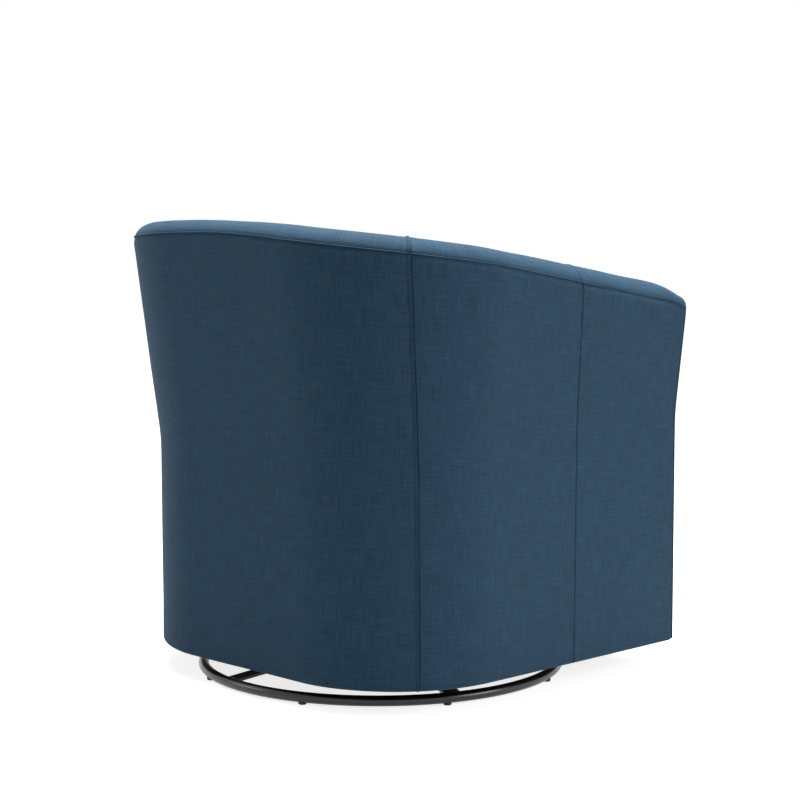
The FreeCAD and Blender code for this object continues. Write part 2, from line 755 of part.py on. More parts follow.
def webbing(name, lengthwise):
    """Elastic straps stapled over the seat rib and the front rail."""
    straps = []
    count = 4 if lengthwise else 3
    low = "deck_height + soft_gap" if lengthwise else "deck_height + webbing_thickness + 2 * soft_gap"
    for number in range(count):
        share = "(%g)" % ((number - (count - 1) / 2) / count * 2)
        if lengthwise:
            middle = "(half_width - wall_width - webbing_width) * " + share
            corners = ((middle + " - webbing_width / 2", "-" + rail_front),
                       (middle + " + webbing_width / 2", "back_reach - wall_width + pad_thickness / 2"))
        else:
            middle = "((front_reach - corner_radius) * " + share + " - webbing_width)"
            reach = "(half_width - wall_width + pad_thickness / 2)"
            corners = (("-" + reach, middle + " - webbing_width / 2"),
                       (reach, middle + " + webbing_width / 2"))
        straps.append(box("%s_%d" % (name, number + 1), corners[0] + (low,),
                          corners[1] + (low + " + webbing_thickness",)))
    return group(name, "Compound", straps)


def deckPad():
    """The felt pad over the webbing, under the padding and the cushion."""
    body = newBody("deck_pad")
    inset = "(wall_width - pad_thickness + frame_gap)"
    outline = tubCorners(inset, rail_front)
    low = "deck_height + 2 * webbing_thickness + 3 * soft_gap"
    pad(body, "deck_pad_pad", sketchOn(body, "deck_pad_outline", "XY_Plane", outline, low),
        "deck_thickness - soft_gap")
    return body


def dustCover():
    """The cloth stapled under the frame, open round the swivel."""
    body = newBody("dust_cover")
    outline = tubCorners("dust_margin", "(" + rail_front + " - dust_margin)")
    pad(body, "dust_cover_pad", sketchOn(body, "dust_cover_outline", "XY_Plane", outline,
                                         "skirt_bottom - dust_cover"), "dust_cover")
    doc.recompute()
    through(body, "dust_cover_opening", circleOn(body, "dust_cover_circle", "XY_Plane", "dust_hole",
                                                 lift="skirt_bottom - dust_cover"))
    return body


# Upholstery

def skinProfile(distance):
    """An outside panel: from the roll's seam down round the bend and under the frame."""
    skin, hem = size("skin_thickness"), size("hem_radius")
    bottom, reach = size("skirt_bottom"), size("bend_reach")
    angle = math.radians(size("flare_angle"))
    radius = reach / math.tan(angle / 2)
    bend = bendHeight(distance)
    start = bend - reach
    top = weltHeight(distance) - size("soft_gap")

    def onBend(share, depth):
        turn = angle * share
        return (radius - (radius + depth) * math.cos(turn), start + (radius + depth) * math.sin(turn))

    def onHem(share, depth):
        turn = math.pi / 2 * share
        return (-hem + (hem - depth) * math.cos(turn), bottom + hem - (hem - depth) * math.sin(turn))

    outer_top = (flare * (top - bend), top)
    inner_top = (flare * (top - bend) - skin / math.cos(angle), top)
    return [
        (onHem(0, 0), onBend(0, 0)),
        (onBend(0, 0), onBend(0.5, 0), onBend(1, 0)),
        (onBend(1, 0), outer_top),
        (outer_top, inner_top),
        (inner_top, onBend(1, skin)),
        (onBend(1, skin), onBend(0.5, skin), onBend(0, skin)),
        (onBend(0, skin), onHem(0, skin)),
        (onHem(0, skin), onHem(0.5, skin), onHem(1, skin)),
        (onHem(1, skin), (-size("hem_width"), bottom + skin)),
        ((-size("hem_width"), bottom + skin), (-size("hem_width"), bottom)),
        ((-size("hem_width"), bottom), onHem(1, 0)),
        (onHem(1, 0), onHem(0.5, 0), onHem(0, 0)),
    ]


def rollRise(distance):
    """How far the top roll stands over its seam: more along the arms, less where it ends."""
    back, front = size("roll_height_back"), size("roll_height_front")
    rise = back + (front - back) * math.sin(math.pi / 2 * abs(distance) / path_end)
    share = max(abs(distance) - drop_start, 0) / size("front_drop_length")
    return rise - (rise - size("roll_nose_height")) * share ** 3


def rollArcs(distance, shrink):
    """The roll over its seam as three arcs, from its outer to its inner edge, made smaller all round."""
    base = weltHeight(distance)
    out = lean(distance, base) - shrink
    rise, crest = rollRise(distance) - shrink, size("roll_crest") - shrink
    rest = size("roll_width") - size("roll_crest") - shrink

    def outer(degrees):
        turn = math.radians(degrees)
        return out - crest * (1 - math.cos(turn)), base + rise * math.sin(turn)

    def inner(degrees):
        turn = math.radians(degrees)
        return out - crest - rest * math.sin(turn) ** 0.9, base + rise * max(math.cos(turn), 0) ** 0.8

    return [(outer(0), outer(45), outer(90)),
            (inner(0), inner(25), inner(50)),
            (inner(50), inner(70), inner(90))]


def rollProfile(distance):
    """The padded roll on top of the wall."""
    arcs = rollArcs(distance, 0)
    return arcs + [(arcs[-1][-1], arcs[0][0])]


def insideProfile(distance):
    """The padding on the inside of the wall, swelling a little towards the sitter."""
    low, top = value(deck_top), weltHeight(distance) - size("soft_gap")
    inner_low = -size("wall_width")
    inner_top = lean(distance, top) - size("roll_width")
    middle = ((inner_low + inner_top) / 2 - size("pad_crown"), (low + top) / 2)
    return [
        ((inner_low, low), middle, (inner_top, top)),
        ((inner_top, top), (padBack(distance, top), top)),
        ((padBack(distance, top), top), (padBack(distance, low), low)),
        ((padBack(distance, low), low), (inner_low, low)),
    ]


def armFrontCover():
    """The padded cover on the front of an arm, from the skirt up over the end of the roll."""
    bottom, bend, deck = size("skirt_bottom"), bendHeight(path_end), value(deck_top)

    def outline(shrink, y):
        arcs = rollArcs(path_end, shrink)
        start, end = arcs[0][0], arcs[-1][-1]
        inner = -size("wall_width") + shrink
        swell = ((inner + end[0]) / 2 - size("pad_crown"), (deck + end[1]) / 2)
        runs = [[(-shrink, bottom + shrink), (-shrink, bend)], [(-shrink, bend), start]] + arcs
        runs += [[end, swell, (inner, deck)], [(inner, deck), (inner, bottom + shrink)],
                 [(inner, bottom + shrink), (-shrink, bottom + shrink)]]
        edges = []
        for run in runs:
            placed = [V(-size("half_width") - out, y, height) for out, height in run]
            edge = Part.LineSegment(*placed) if len(placed) == 2 else Part.Arc(*placed)
            edges.append(edge.toShape())
        return Part.Wire(edges)

    back, cover = -size("front_reach"), size("front_cover")
    wires = [outline(0, back), outline(0, back - cover / 3), outline(cover * 0.3, back - cover * 0.75),
             outline(cover, back - cover)]
    return Part.makeLoft(wires, True, True)


def frontApron():
    """The panel across the front, between the arms, with its top edge eased."""
    body = newBody("front_apron")
    side = "(half_width - wall_width - soft_gap)"
    back = "-(front_reach - apron_setback - front_cover)"
    profile = [(back, "skirt_bottom", None),
               (back, deck_top + " - soft_gap", None),
               (back + " - front_cover / 3", deck_top + " - soft_gap", "front_cover * 2 / 3"),
               (back + " - front_cover", deck_top + " - soft_gap - front_cover * 2 / 3", None),
               (back + " - front_cover", "skirt_bottom", None)]
    sketch = sketchOn(body, "front_apron_profile", "YZ_Plane", profile)
    apron = pad(body, "front_apron_pad", sketch, "2 * " + side)
    apron.Midplane = True
    return body


def seatCushion():
    """The loose seat cushion: swelling sides and a crowned top."""
    inset = size("wall_width") + 2 * size("soft_gap")
    side, back = size("half_width") - inset, size("back_reach") - inset
    rear, front = size("corner_radius") - inset, size("cushion_front_radius")
    edge_y = -size("front_reach") - size("front_cover") / 2
    middle = (back + edge_y) / 2
    low = value(deck_top) + size("soft_gap")
    edge, crown, shoulder = size("cushion_edge"), size("cushion_crown"), size("cushion_shoulder")

    def outline(share, height):
        wide, deep = side * share, (back - edge_y) / 2 * share
        runs = []
        for sx, sy, full in ((1, 1, rear), (-1, 1, rear), (-1, -1, front), (1, -1, front)):
            radius = full * share
            x, y = sx * (wide - radius), middle + sy * (deep - radius)
            spots = [(x + sx * radius, y), (x + sx * radius * NEAR, y + sy * radius * NEAR),
                     (x, y + sy * radius)]
            if sx * sy < 0:
                spots.reverse()
            runs.append([V(*spot, height) for spot in spots])
        edges = []
        for run, following in zip(runs, runs[1:] + runs[:1]):
            edges += [Part.Arc(*run).toShape(), Part.LineSegment(run[2], following[0]).toShape()]
        return Part.Wire(edges)

    tight = 1 - size("cushion_swell") / side
    tucked = tight - shoulder / 2 / side
    under = [outline(tucked, low), outline(tight, low + shoulder)]
    sides = [outline(share, low + height)
             for share, height in ((tight, shoulder), (1, edge / 2), (tight, edge - shoulder))]
    crowns = [outline(tight * share, low + edge - shoulder + (crown + shoulder) * (1 - share ** 3) ** 0.6)
              for share in (1, 0.985, 0.95, 0.87, 0.72, 0.5, 0.25, 0.08)]
    parts = [Part.makeLoft(under, True, True), Part.makeLoft(sides, True, False),
             Part.makeLoft(crowns, True, True)]
    return parts[0].fuse(parts[1:]).removeSplitter().Solids[0]


# Every sub-part, by the name of its node

subparts = {}


def add(item, name=None):
    """Keep an object as a sub-part under its label."""
    item.Label = name or item.Name
    subparts[item.Label] = item


add(baseRing())
spoke_turns = {
    "spoke_rear": "spoke_turn",
    "spoke_right": "spoke_turn + spoke_spread",
    "spoke_front": "spoke_turn + 180",
    "spoke_left": "spoke_turn + spoke_spread + 180",
}
for name, turn in spoke_turns.items():
    add(spoke(name, turn))
add(floorGlides())
add(lowerPlate())
add(bearingRing())
add(kingBolt())
add(kingWasher())
add(kingNut())

add(upperPlate())
add(plateBolts())
add(teeNuts())
add(swivelRail("swivel_rail_front", "-"))
add(swivelRail("swivel_rail_rear", ""))
add(bottomRib())
add(bottomFrontRail())
add(rib("seat_rib", "(skin_thickness + frame_gap)", "(wall_width + skin_thickness)",
        "deck_height - rib_thickness", "(" + rail_front + " - rail_thickness)"))
add(frontRail())
add(cornerBlocks())
add(formed("top_back_rail", wall(topRail, -rear_seam, rear_seam)))
arm_rail = wall(topRail, rear_seam, path_end - size("soft_gap"))
add(formed("arm_top_rails", Part.makeCompound([arm_rail, mirrored(arm_rail)])))
add(formed("lower_posts", posts(lowerPost)))
add(formed("upper_posts", posts(upperPost)))
board = armFrontBoard()
add(formed("arm_front_board_right", board))
add(formed("arm_front_board_left", mirrored(board)))
add(webbing("webbing_lengthwise", True))
add(webbing("webbing_crosswise", False))
add(deckPad())
add(dustCover())

add(formed("outside_back", wall(skinProfile, -rear_seam, rear_seam)))
add(formed("inside_back", wall(insideProfile, -rear_seam, rear_seam)))
add(formed("top_roll_back", wall(rollProfile, -rear_seam, rear_seam)))
for name, profile, start, end in (
        ("outside_corner", skinProfile, rear_seam, side_seam),
        ("outside_arm", skinProfile, side_seam, path_end),
        ("inside_arm", insideProfile, rear_seam, path_end),
        ("top_roll_corner", rollProfile, rear_seam, side_seam),
        ("top_roll_arm", rollProfile, side_seam, path_end)):
    right = wall(profile, start, end)
    add(formed(name + "_right", right))
    add(formed(name + "_left", mirrored(right)))
cover = armFrontCover()
add(formed("arm_front_cover_right", cover))
add(formed("arm_front_cover_left", mirrored(cover)))
add(frontApron())
add(formed("seat_cushion", seatCushion()))

doc.recompute()
for item in doc.Objects:
    if {"Invalid", "Error"} & set(item.State):
        raise ValueError(item.Label + " failed: " + ", ".join(item.State))
for name, item in subparts.items():
    if item.Shape.isNull() or not item.Shape.isValid() or not item.Shape.Solids:
        raise ValueError(name + " has no valid shape")

os.makedirs("parts", exist_ok=True)
for name, item in subparts.items():
    item.Shape.exportStep("parts/%s.step" % name)
print(len(subparts), "sub-parts")
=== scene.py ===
# Swivel barrel chair: its looks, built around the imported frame.
# Metres. The sitter faces -Y, +X is the sitter's left, +Z is up, and the floor is at Z = 0.
import json
import math
import bmesh
import bpy
from mathutils import Matrix, Vector, noise


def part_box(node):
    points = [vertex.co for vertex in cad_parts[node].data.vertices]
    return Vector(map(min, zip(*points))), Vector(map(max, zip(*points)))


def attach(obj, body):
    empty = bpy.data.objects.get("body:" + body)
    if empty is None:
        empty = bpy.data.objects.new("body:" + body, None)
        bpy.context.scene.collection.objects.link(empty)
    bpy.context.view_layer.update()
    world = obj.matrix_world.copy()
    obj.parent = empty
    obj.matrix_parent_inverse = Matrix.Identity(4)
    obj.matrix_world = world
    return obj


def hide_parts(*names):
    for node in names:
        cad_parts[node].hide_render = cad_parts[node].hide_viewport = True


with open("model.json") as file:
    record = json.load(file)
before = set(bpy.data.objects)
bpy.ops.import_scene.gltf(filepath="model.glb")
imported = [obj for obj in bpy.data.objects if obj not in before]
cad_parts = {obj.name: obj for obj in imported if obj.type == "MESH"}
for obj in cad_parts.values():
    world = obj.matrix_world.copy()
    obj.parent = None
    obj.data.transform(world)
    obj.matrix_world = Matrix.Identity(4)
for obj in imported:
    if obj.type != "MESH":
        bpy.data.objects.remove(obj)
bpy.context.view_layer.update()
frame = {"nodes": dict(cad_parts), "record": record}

scene = bpy.context.scene
print("stage: frame loaded,", len(frame["nodes"]), "nodes")


# The tub's path: distances run along the skirt from centre back to the sitter's right

tub = {
    "halfWidth": 0.312,        # over the outside arms, at the skirt
    "backReach": 0.274,        # axis to the outside back
    "frontReach": 0.317,       # axis to the front of the outside arms
    "cornerRadius": 0.193,
    "skirtBottom": 0.037,
    "hemRadius": 0.008,
    "hemWidth": 0.034,
    "flare": math.tan(math.radians(7)),    # lean of the wall over its bend, as a slope
    "bendBack": 0.342,         # height of the bend at centre back
    "bendFront": 0.387,        # and at the arm fronts
    "bendReach": 0.021,
    "seamTop": 0.6703,         # seam under the roll at centre back
    "cornerFall": 0.0435,      # its fall round to the start of the arm
    "armSlope": math.tan(math.radians(10.6)),
    "endFall": 0.006,          # its extra fall at the arm front
    "endLength": 0.045,
    "wallWidth": 0.088,        # outside to inside face at the seat deck
    "rollWidth": 0.076,
    "rollBack": 0.0157,        # crest of the roll over its seam, at centre back
    "rollFront": 0.0256,       # and along the arms
    "rollEnd": 0.0195,         # and where it ends
    "noseLength": 0.06,        # length over which it falls to its end
    "crestIn": 0.027,          # crest of the roll, in from its outer edge
    "endCrestIn": 0.022,
    "turnPower": 1.12,         # how full the roll's outer quarter is
    "endTurnPower": 0.85,
    "seamPull": 0.003,         # how far the seam draws the cover in
    "seamReach": 0.013,
    "deckTop": 0.2848,
}
rearSeamLine = [(0.05, 0.3056), (0.34, 0.304), (0.64, 0.291)]
sideSeamLine = [(0.05, 0.5957), (0.36, 0.5991), (0.58, 0.5819)]
cornerStart = tub["halfWidth"] - tub["cornerRadius"]
cornerEnd = cornerStart + tub["cornerRadius"] * math.pi / 2
pathEnd = cornerEnd + tub["backReach"] - tub["cornerRadius"] + tub["frontReach"]


def mix(a, b, share):
    return a + (b - a) * share


def clamp(value, low=0.0, high=1.0):
    return max(low, min(high, value))


def ease(value):
    value = clamp(value)
    return value * value * (3 - 2 * value)


def along(value, marks):
    # straight runs between (place, amount) marks
    for (x0, y0), (x1, y1) in zip(marks, marks[1:]):
        if value <= x1:
            return mix(y0, y1, clamp((value - x0) / (x1 - x0)))
    return marks[-1][1]


def station(u):
    # point of the skirt's outline and its outward normal
    far, side = abs(u), -1 if u > 0 else 1
    if far <= cornerStart:
        return Vector((side * far, tub["backReach"], 0)), Vector((0, 1, 0))
    if far >= cornerEnd:
        y = tub["backReach"] - tub["cornerRadius"] - (far - cornerEnd)
        return Vector((side * tub["halfWidth"], y, 0)), Vector((side, 0, 0))
    turn = (far - cornerStart) / tub["cornerRadius"]
    normal = Vector((side * math.sin(turn), math.cos(turn), 0))
    centre = Vector((side * cornerStart, tub["backReach"] - tub["cornerRadius"], 0))
    return centre + normal * tub["cornerRadius"], normal


def lean(u, z):
    # how far the wall's face stands out from the skirt at a height
    share = clamp((abs(u) - cornerStart) / (pathEnd - cornerStart))
    over = z - mix(tub["bendBack"], tub["bendFront"], share) + tub["bendReach"]
    if over <= 0:
        return 0
    if over < 2 * tub["bendReach"]:
        return tub["flare"] * over * over / 4 / tub["bendReach"]
    return tub["flare"] * (over - tub["bendReach"])


def seamHeight(u):
    # the seam between the outside panels and the roll
    far = abs(u)
    power = tub["armSlope"] * cornerEnd / tub["cornerFall"]
    height = tub["seamTop"] - tub["cornerFall"] * min(1, far / cornerEnd) ** power
    height -= tub["armSlope"] * max(0, far - cornerEnd)
    over = max(0, far - pathEnd + tub["endLength"]) / tub["endLength"]
    return height - tub["endFall"] * over ** 2


def rollHeight(u):
    # crest of the roll over its seam, falling in a nose at the arm front
    height = mix(tub["rollBack"], tub["rollFront"], math.sin(math.pi / 2 * abs(u) / pathEnd))
    return height - (height - tub["rollEnd"]) * noseShare(u) ** 1.4


def noseShare(u):
    return max(0, abs(u) - pathEnd + tub["noseLength"]) / tub["noseLength"]


def faceOut(u, z):
    # the cover's face: the leaning wall, drawn in a little towards the seam under the roll
    near = 1 - clamp((seamHeight(u) - z) / tub["seamReach"])
    return lean(u, z) - tub["seamPull"] * (1 - 0.8 * noseShare(u)) * near ** 2


def seamOut(u):
    return faceOut(u, seamHeight(u))


def shoulder(u, turn):
    # the roll's outer quarter, from the seam to the crest: fuller where the arm ends
    crest = mix(tub["crestIn"], tub["endCrestIn"], noseShare(u))
    power = mix(tub["turnPower"], tub["endTurnPower"], noseShare(u))
    return crest * (1 - max(math.cos(turn), 0) ** power), rollHeight(u) * math.sin(turn) ** power


def place(u, out, z):
    point, normal = station(u)
    return point + normal * out + Vector((0, 0, z))


# Modelling helpers

def newPiece(name, bm, material, body="seat", stands=(), smooth=True):
    mesh = bpy.data.meshes.new(name)
    bm.to_mesh(mesh)
    bm.free()
    for face in mesh.polygons:
        face.use_smooth = smooth
    piece = bpy.data.objects.new(name, mesh)
    scene.collection.objects.link(piece)
    piece.data.materials.append(material)
    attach(piece, body)
    if stands:
        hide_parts(*stands)
    return piece


def gather(share, pull):
    # crowds a row of points towards both of its ends
    return share - pull * math.sin(2 * math.pi * share) / (2 * math.pi)


def sweep(startAt, endAt, outline, columns, rows, relief=None, pull=0.9, closed=True):
    # carries outline(u, t) along the path; startAt and endAt give the path's ends at a height
    bm = bmesh.new()
    bmesh.ops.create_grid(bm, x_segments=columns, y_segments=rows, size=1)
    uvs = bm.loops.layers.uv.new("cloth")
    paintedSeamShade = bm.verts.layers.float.new("paintedSeamShade")
    middle = (startAt(0.4) + endAt(0.4)) / 2
    spots, travel = [outline(middle, row / rows) for row in range(rows + 1)], [0]
    for before, after in zip(spots, spots[1:]):
        travel.append(travel[-1] + math.hypot(after[0] - before[0], after[1] - before[1]))
    marks = {}
    for vert in bm.verts:
        share, t = gather((vert.co.x + 1) / 2, pull), (vert.co.y + 1) / 2
        guess = mix(startAt(0.4), endAt(0.4), share)
        z = outline(guess, t)[1]
        u = mix(startAt(z), endAt(z), share)
        out, z = outline(u, t)
        row = round(t * rows)
        vert.co = place(u, out, z)
        ends = (u - startAt(z), endAt(z) - u)
        marks[vert] = (u, t, travel[row], ends, z)
    for face in bm.faces:
        for loop in face.loops:
            u, t, length, ends, z = marks[loop.vert]
            loop[uvs].uv = (u, length)
    bm.normal_update()
    facing = bm.calc_volume(signed=True) if closed else sum(outward(face) for face in bm.faces)
    if facing < 0:
        bmesh.ops.reverse_faces(bm, faces=bm.faces)
    bm.normal_update()
    # relief gives each point a lift and an amount of painted seam shade
    if relief:
        moves = [(vert, vert.normal.copy(), relief(*marks[vert])) for vert in bm.verts]
        for vert, normal, (lift, dark) in moves:
            vert.co += normal * lift
            vert[paintedSeamShade] = dark
    if closed:
        bmesh.ops.remove_doubles(bm, verts=bm.verts, dist=0.00002)
        rims = [edge for edge in bm.edges if edge.is_boundary]
        caps = bmesh.ops.holes_fill(bm, edges=rims, sides=0)["faces"]
        bmesh.ops.triangulate(bm, faces=caps)
        bmesh.ops.recalc_face_normals(bm, faces=bm.faces)
    return bm


def outward(face):
    centre = face.calc_center_median()
    return face.normal.dot(Vector((centre.x, centre.y, 0)).normalized()) * face.calc_area()


def ripple(u, v, size, seed):
    return noise.noise(Vector((u / size, v / size, seed)))


def thicken(piece, thickness):
    solid = piece.modifiers.new("thickness", "SOLIDIFY")
    solid.thickness = thickness
    solid.offset = -1
    solid.use_even_offset = False


# Materials

class Nodes:
    # a material's node tree with short calls

    def __init__(self, name, **values):
        self.material = bpy.data.materials.new(name)
        self.material.use_nodes = True
        self.tree = self.material.node_tree
        self.shader = self.tree.nodes["Principled BSDF"]
        for key, value in values.items():
            self.shader.inputs[key.replace("_", " ")].default_value = value

    def add(self, kind, **settings):
        node = self.tree.nodes.new("ShaderNode" + kind)
        for key, value in settings.items():
            if hasattr(node, key):
                setattr(node, key, value)
            else:
                node.inputs[key.replace("_", " ")].default_value = value
        return node

    def link(self, source, target):
        self.tree.links.new(source, target)
        return target

    def math(self, operation, a, b=None, limit=False):
        node = self.add("Math", operation=operation, use_clamp=limit)
        for socket, value in zip(node.inputs, (a, b)):
            if value is None:
                continue
            if isinstance(value, (int, float)):
                socket.default_value = value
            else:
                self.link(value, socket)
        return node.outputs[0]

    def blend(self, share, a, b, kind="MIX"):
        node = self.add("Mix", data_type="RGBA", blend_type=kind)
        for socket, value in zip((node.inputs[0], node.inputs[6], node.inputs[7]), (share, a, b)):
            if isinstance(value, (int, float, tuple)):
                socket.default_value = value
            else:
                self.link(value, socket)
        return node.outputs[2]

    def scaled(self, source, size, turn=(0, 0, 0)):
        node = self.add("Mapping", vector_type="POINT")
        node.inputs["Scale"].default_value = size
        node.inputs["Rotation"].default_value = turn
        self.link(source, node.inputs["Vector"])
        return node.outputs[0]

    def noise(self, source, scale, detail=2, rough=0.5):
        node = self.add("TexNoise", Scale=scale, Detail=detail, Roughness=rough)
        self.link(source, node.inputs["Vector"])
        return node.outputs["Fac"]

    def bands(self, source, axis, period):
        node = self.add("TexWave", wave_type="BANDS", bands_direction=axis, wave_profile="SIN",
                        Scale=math.pi / 10 / period)
        self.link(source, node.inputs["Vector"])
        return node.outputs["Fac"]

    def ramp(self, source, *stops):
        node = self.add("ValToRGB")
        node.color_ramp.elements[0].position = stops[0][0]
        node.color_ramp.elements[0].color = stops[0][1]
        for spot, colour in stops[1:-1]:
            node.color_ramp.elements.new(spot).color = colour
        node.color_ramp.elements[-1].position = stops[-1][0]
        node.color_ramp.elements[-1].color = stops[-1][1]
        self.link(source, node.inputs[0])
        return node.outputs[0]

    def bump(self, height, strength, distance, under=None):
        node = self.add("Bump", Strength=strength, Distance=distance)
        self.link(height, node.inputs["Height"])
        if under is not None:
            self.link(under, node.inputs["Normal"])
        return node.outputs[0]

    def out(self, colour=None, roughness=None, normal=None):
        for source, name in ((colour, "Base Color"), (roughness, "Roughness"), (normal, "Normal")):
            if source is not None:
                self.link(source, self.shader.inputs[name])
        return self.material


def rgb(red, green, blue):
    # a colour as a picture shows it, from 0 to 255
    return tuple(((c / 255) / 12.92 if c < 11 else ((c / 255 + 0.055) / 1.055) ** 2.4)
                 for c in (red, green, blue)) + (1,)


cloth = {
    "base": rgb(24, 50, 69),
    "light": rgb(40, 75, 98),
    "dark": rgb(11, 30, 43),
    # painted shade: the colour laid into the seams and along the top edge under the roll
    "seam": rgb(7, 14, 20),
    "thread": 0.00085,         # one thread of the weave
    "slub": 0.03,              # length of a thick place in a thread
    "sheen": 0.08,
}


def linenCloth():
    # plain weave with slubs, on the piece's own map in metres
    n = Nodes("petrolLinen", Roughness=0.82, Specular_IOR_Level=0.22,
              Sheen_Weight=cloth["sheen"], Sheen_Roughness=0.5)
    n.shader.inputs["Sheen Tint"].default_value = rgb(150, 196, 228)
    cover = n.add("UVMap", uv_map="cloth").outputs[0]
    fine, long = 1 / cloth["thread"], 1 / cloth["slub"]
    warpTone = n.noise(n.scaled(cover, (fine, long, 1)), 1.0, 1)
    weftTone = n.noise(n.scaled(cover, (long, fine, 1)), 1.0, 1)
    checks = n.add("TexChecker", Scale=1.0)
    n.link(n.scaled(cover, (fine, fine, 1)), checks.inputs["Vector"])
    tone = n.blend(checks.outputs["Fac"], warpTone, weftTone)
    slubs = n.math("MULTIPLY", n.math("ADD", n.noise(n.scaled(cover, (26, 640, 1)), 1.0, 2),
                                      n.noise(n.scaled(cover, (640, 26, 1)), 1.0, 2)), 0.5)
    colour = n.ramp(tone, (0.25, cloth["dark"]), (0.5, cloth["base"]), (0.78, cloth["light"]))
    colour = n.blend(0.5, colour, n.ramp(slubs, (0.38, cloth["dark"]), (0.62, cloth["light"])))
    colour = n.blend(n.math("MULTIPLY", n.noise(cover, 5, 3, 0.6), 0.3), colour, cloth["base"])
    # painted shade in the seams, from the seam shade value each piece carries per point
    paintedSeamShade = n.add("Attribute", attribute_name="paintedSeamShade").outputs["Fac"]
    colour = n.blend(n.math("MULTIPLY", paintedSeamShade, 0.7), colour, cloth["seam"])
    warp, weft = (n.bands(cover, axis, 2 * cloth["thread"]) for axis in "XY")
    weave = n.math("MULTIPLY", n.blend(checks.outputs["Fac"], warp, weft), 0.6)
    height = n.math("ADD", weave, n.math("MULTIPLY", n.math("ADD", warpTone, weftTone), 0.6))
    return n.out(colour, n.math("ADD", 0.72, n.math("MULTIPLY", tone, 0.2)), n.bump(height, 0.4, 0.0004))


def enamel():
    n = Nodes("blackEnamel", Roughness=0.24, Specular_IOR_Level=0.5)
    spot = n.add("TexCoord").outputs["Object"]
    grain = n.noise(spot, 900, 2)
    worn = n.noise(spot, 30, 4, 0.65)
    colour = n.ramp(worn, (0.4, rgb(6, 6, 7)), (0.72, rgb(13, 13, 14)))
    rough = n.math("ADD", 0.16, n.math("MULTIPLY", worn, 0.16))
    return n.out(colour, rough, n.bump(grain, 0.12, 0.0002))


def plain(name, low, high, roughness, metal=0.0, size=60, grain=700, bump=0.15):
    # one finish with cloudy tone and a fine grain
    n = Nodes(name, Roughness=roughness, Metallic=metal)
    spot = n.add("TexCoord").outputs["Object"]
    cloud = n.noise(spot, size, 4, 0.6)
    colour = n.ramp(cloud, (0.3, low), (0.7, high))
    rough = n.math("ADD", roughness - 0.08, n.math("MULTIPLY", cloud, 0.16))
    return n.out(colour, rough, n.bump(n.noise(spot, grain, 2), bump, 0.0003))


def timber(name, low, high, stretch, turn=(0, 0, 0)):
    # grain that runs along one axis
    n = Nodes(name, Roughness=0.62)
    spot = n.scaled(n.add("TexCoord").outputs["Object"], stretch, turn)
    rings = n.add("TexWave", wave_type="RINGS", Scale=6, Distortion=7, Detail=3)
    n.link(spot, rings.inputs["Vector"])
    fibres = n.noise(n.scaled(spot, (2, 60, 60)), 1.0, 3, 0.6)
    tone = n.math("ADD", n.math("MULTIPLY", rings.outputs["Fac"], 0.55), n.math("MULTIPLY", fibres, 0.45))
    return n.out(n.ramp(tone, (0.25, low), (0.75, high)), None, n.bump(fibres, 0.25, 0.0003))


def layered(name, low, high):
    # plywood: veneers as thin level layers on the edges
    n = Nodes(name, Roughness=0.66)
    spot = n.add("TexCoord").outputs["Object"]
    layers = n.add("TexWave", wave_type="BANDS", bands_direction="Z", wave_profile="SIN",
                   Scale=110, Distortion=0.6, Detail=1)
    n.link(spot, layers.inputs["Vector"])
    fibres = n.noise(n.scaled(spot, (8, 160, 160)), 1.0, 3, 0.6)
    tone = n.math("ADD", n.math("MULTIPLY", layers.outputs["Fac"], 0.4), n.math("MULTIPLY", fibres, 0.6))
    return n.out(n.ramp(tone, (0.3, low), (0.75, high)), None, n.bump(fibres, 0.2, 0.0003))


linen = linenCloth()
finishes = {
    "black_enamel": enamel(),
    "black_plate": plain("blackPlate", rgb(16, 16, 17), rgb(30, 30, 31), 0.42),
    "black_glide": plain("glideRubber", rgb(20, 20, 20), rgb(34, 34, 33), 0.7, bump=0.3),
    "bearing_nylon": plain("bearingNylon", rgb(205, 203, 192), rgb(222, 220, 210), 0.5),
    "zinc_steel": plain("zincSteel", rgb(150, 152, 150), rgb(188, 190, 186), 0.36, metal=0.9, size=120),
    "solid_wood": timber("pine", rgb(178, 136, 88), rgb(214, 176, 124), (1, 6, 6)),
    "plywood": layered("birchPly", rgb(176, 142, 98), rgb(216, 186, 142)),
    "webbing": plain("webbingWeave", rgb(120, 108, 84), rgb(164, 148, 116), 0.8, grain=1500, bump=0.6),
    "felt": plain("deckFelt", rgb(120, 118, 112), rgb(158, 155, 147), 0.95, grain=500, bump=0.7),
    "dust_cloth": plain("dustCloth", rgb(18, 18, 19), rgb(34, 34, 35), 0.9, grain=1800, bump=0.5),
}
slots = {row["node"]: row["material_slot"] for row in frame["record"]["subparts"]}
for name, node in frame["nodes"].items():
    finish = finishes.get(slots.get(name))
    node.data.materials.clear()
    node.data.materials.append(finish or linen)
print("stage: materials made")


# The outside panels

panel = {
    "thickness": 0.0022,
    "rows": 150,
    "tuck": 0.0013,            # how deep a seam draws the cloth in
    "tuckReach": 0.0013,
    "line": 0.0007,            # width of the painted shade line in a seam
    "ridge": 0.0017,           # folded edge beside a rear seam
    "ridgeWidth": 0.0042,
    "pucker": 0.0008,
    "wave": 0.0008,
}


def panelOutline(u, t):
    # from the seam under the roll down the wall, round the hem and under the frame
    top, hem, bottom = seamHeight(u) - 0.0001, tub["hemRadius"], tub["skirtBottom"]
    wallShare, hemShare = 0.86, 0.97
    if t <= wallShare:
        z = mix(top, bottom + hem, gather(t / wallShare, 0.7))
        return faceOut(u, z), z
    if t <= hemShare:
        turn = (t - wallShare) / (hemShare - wallShare) * math.pi / 2
        return -hem + hem * math.cos(turn), bottom + hem - hem * math.sin(turn)
    return mix(-hem, -tub["hemWidth"], (t - hemShare) / (1 - hemShare)), bottom


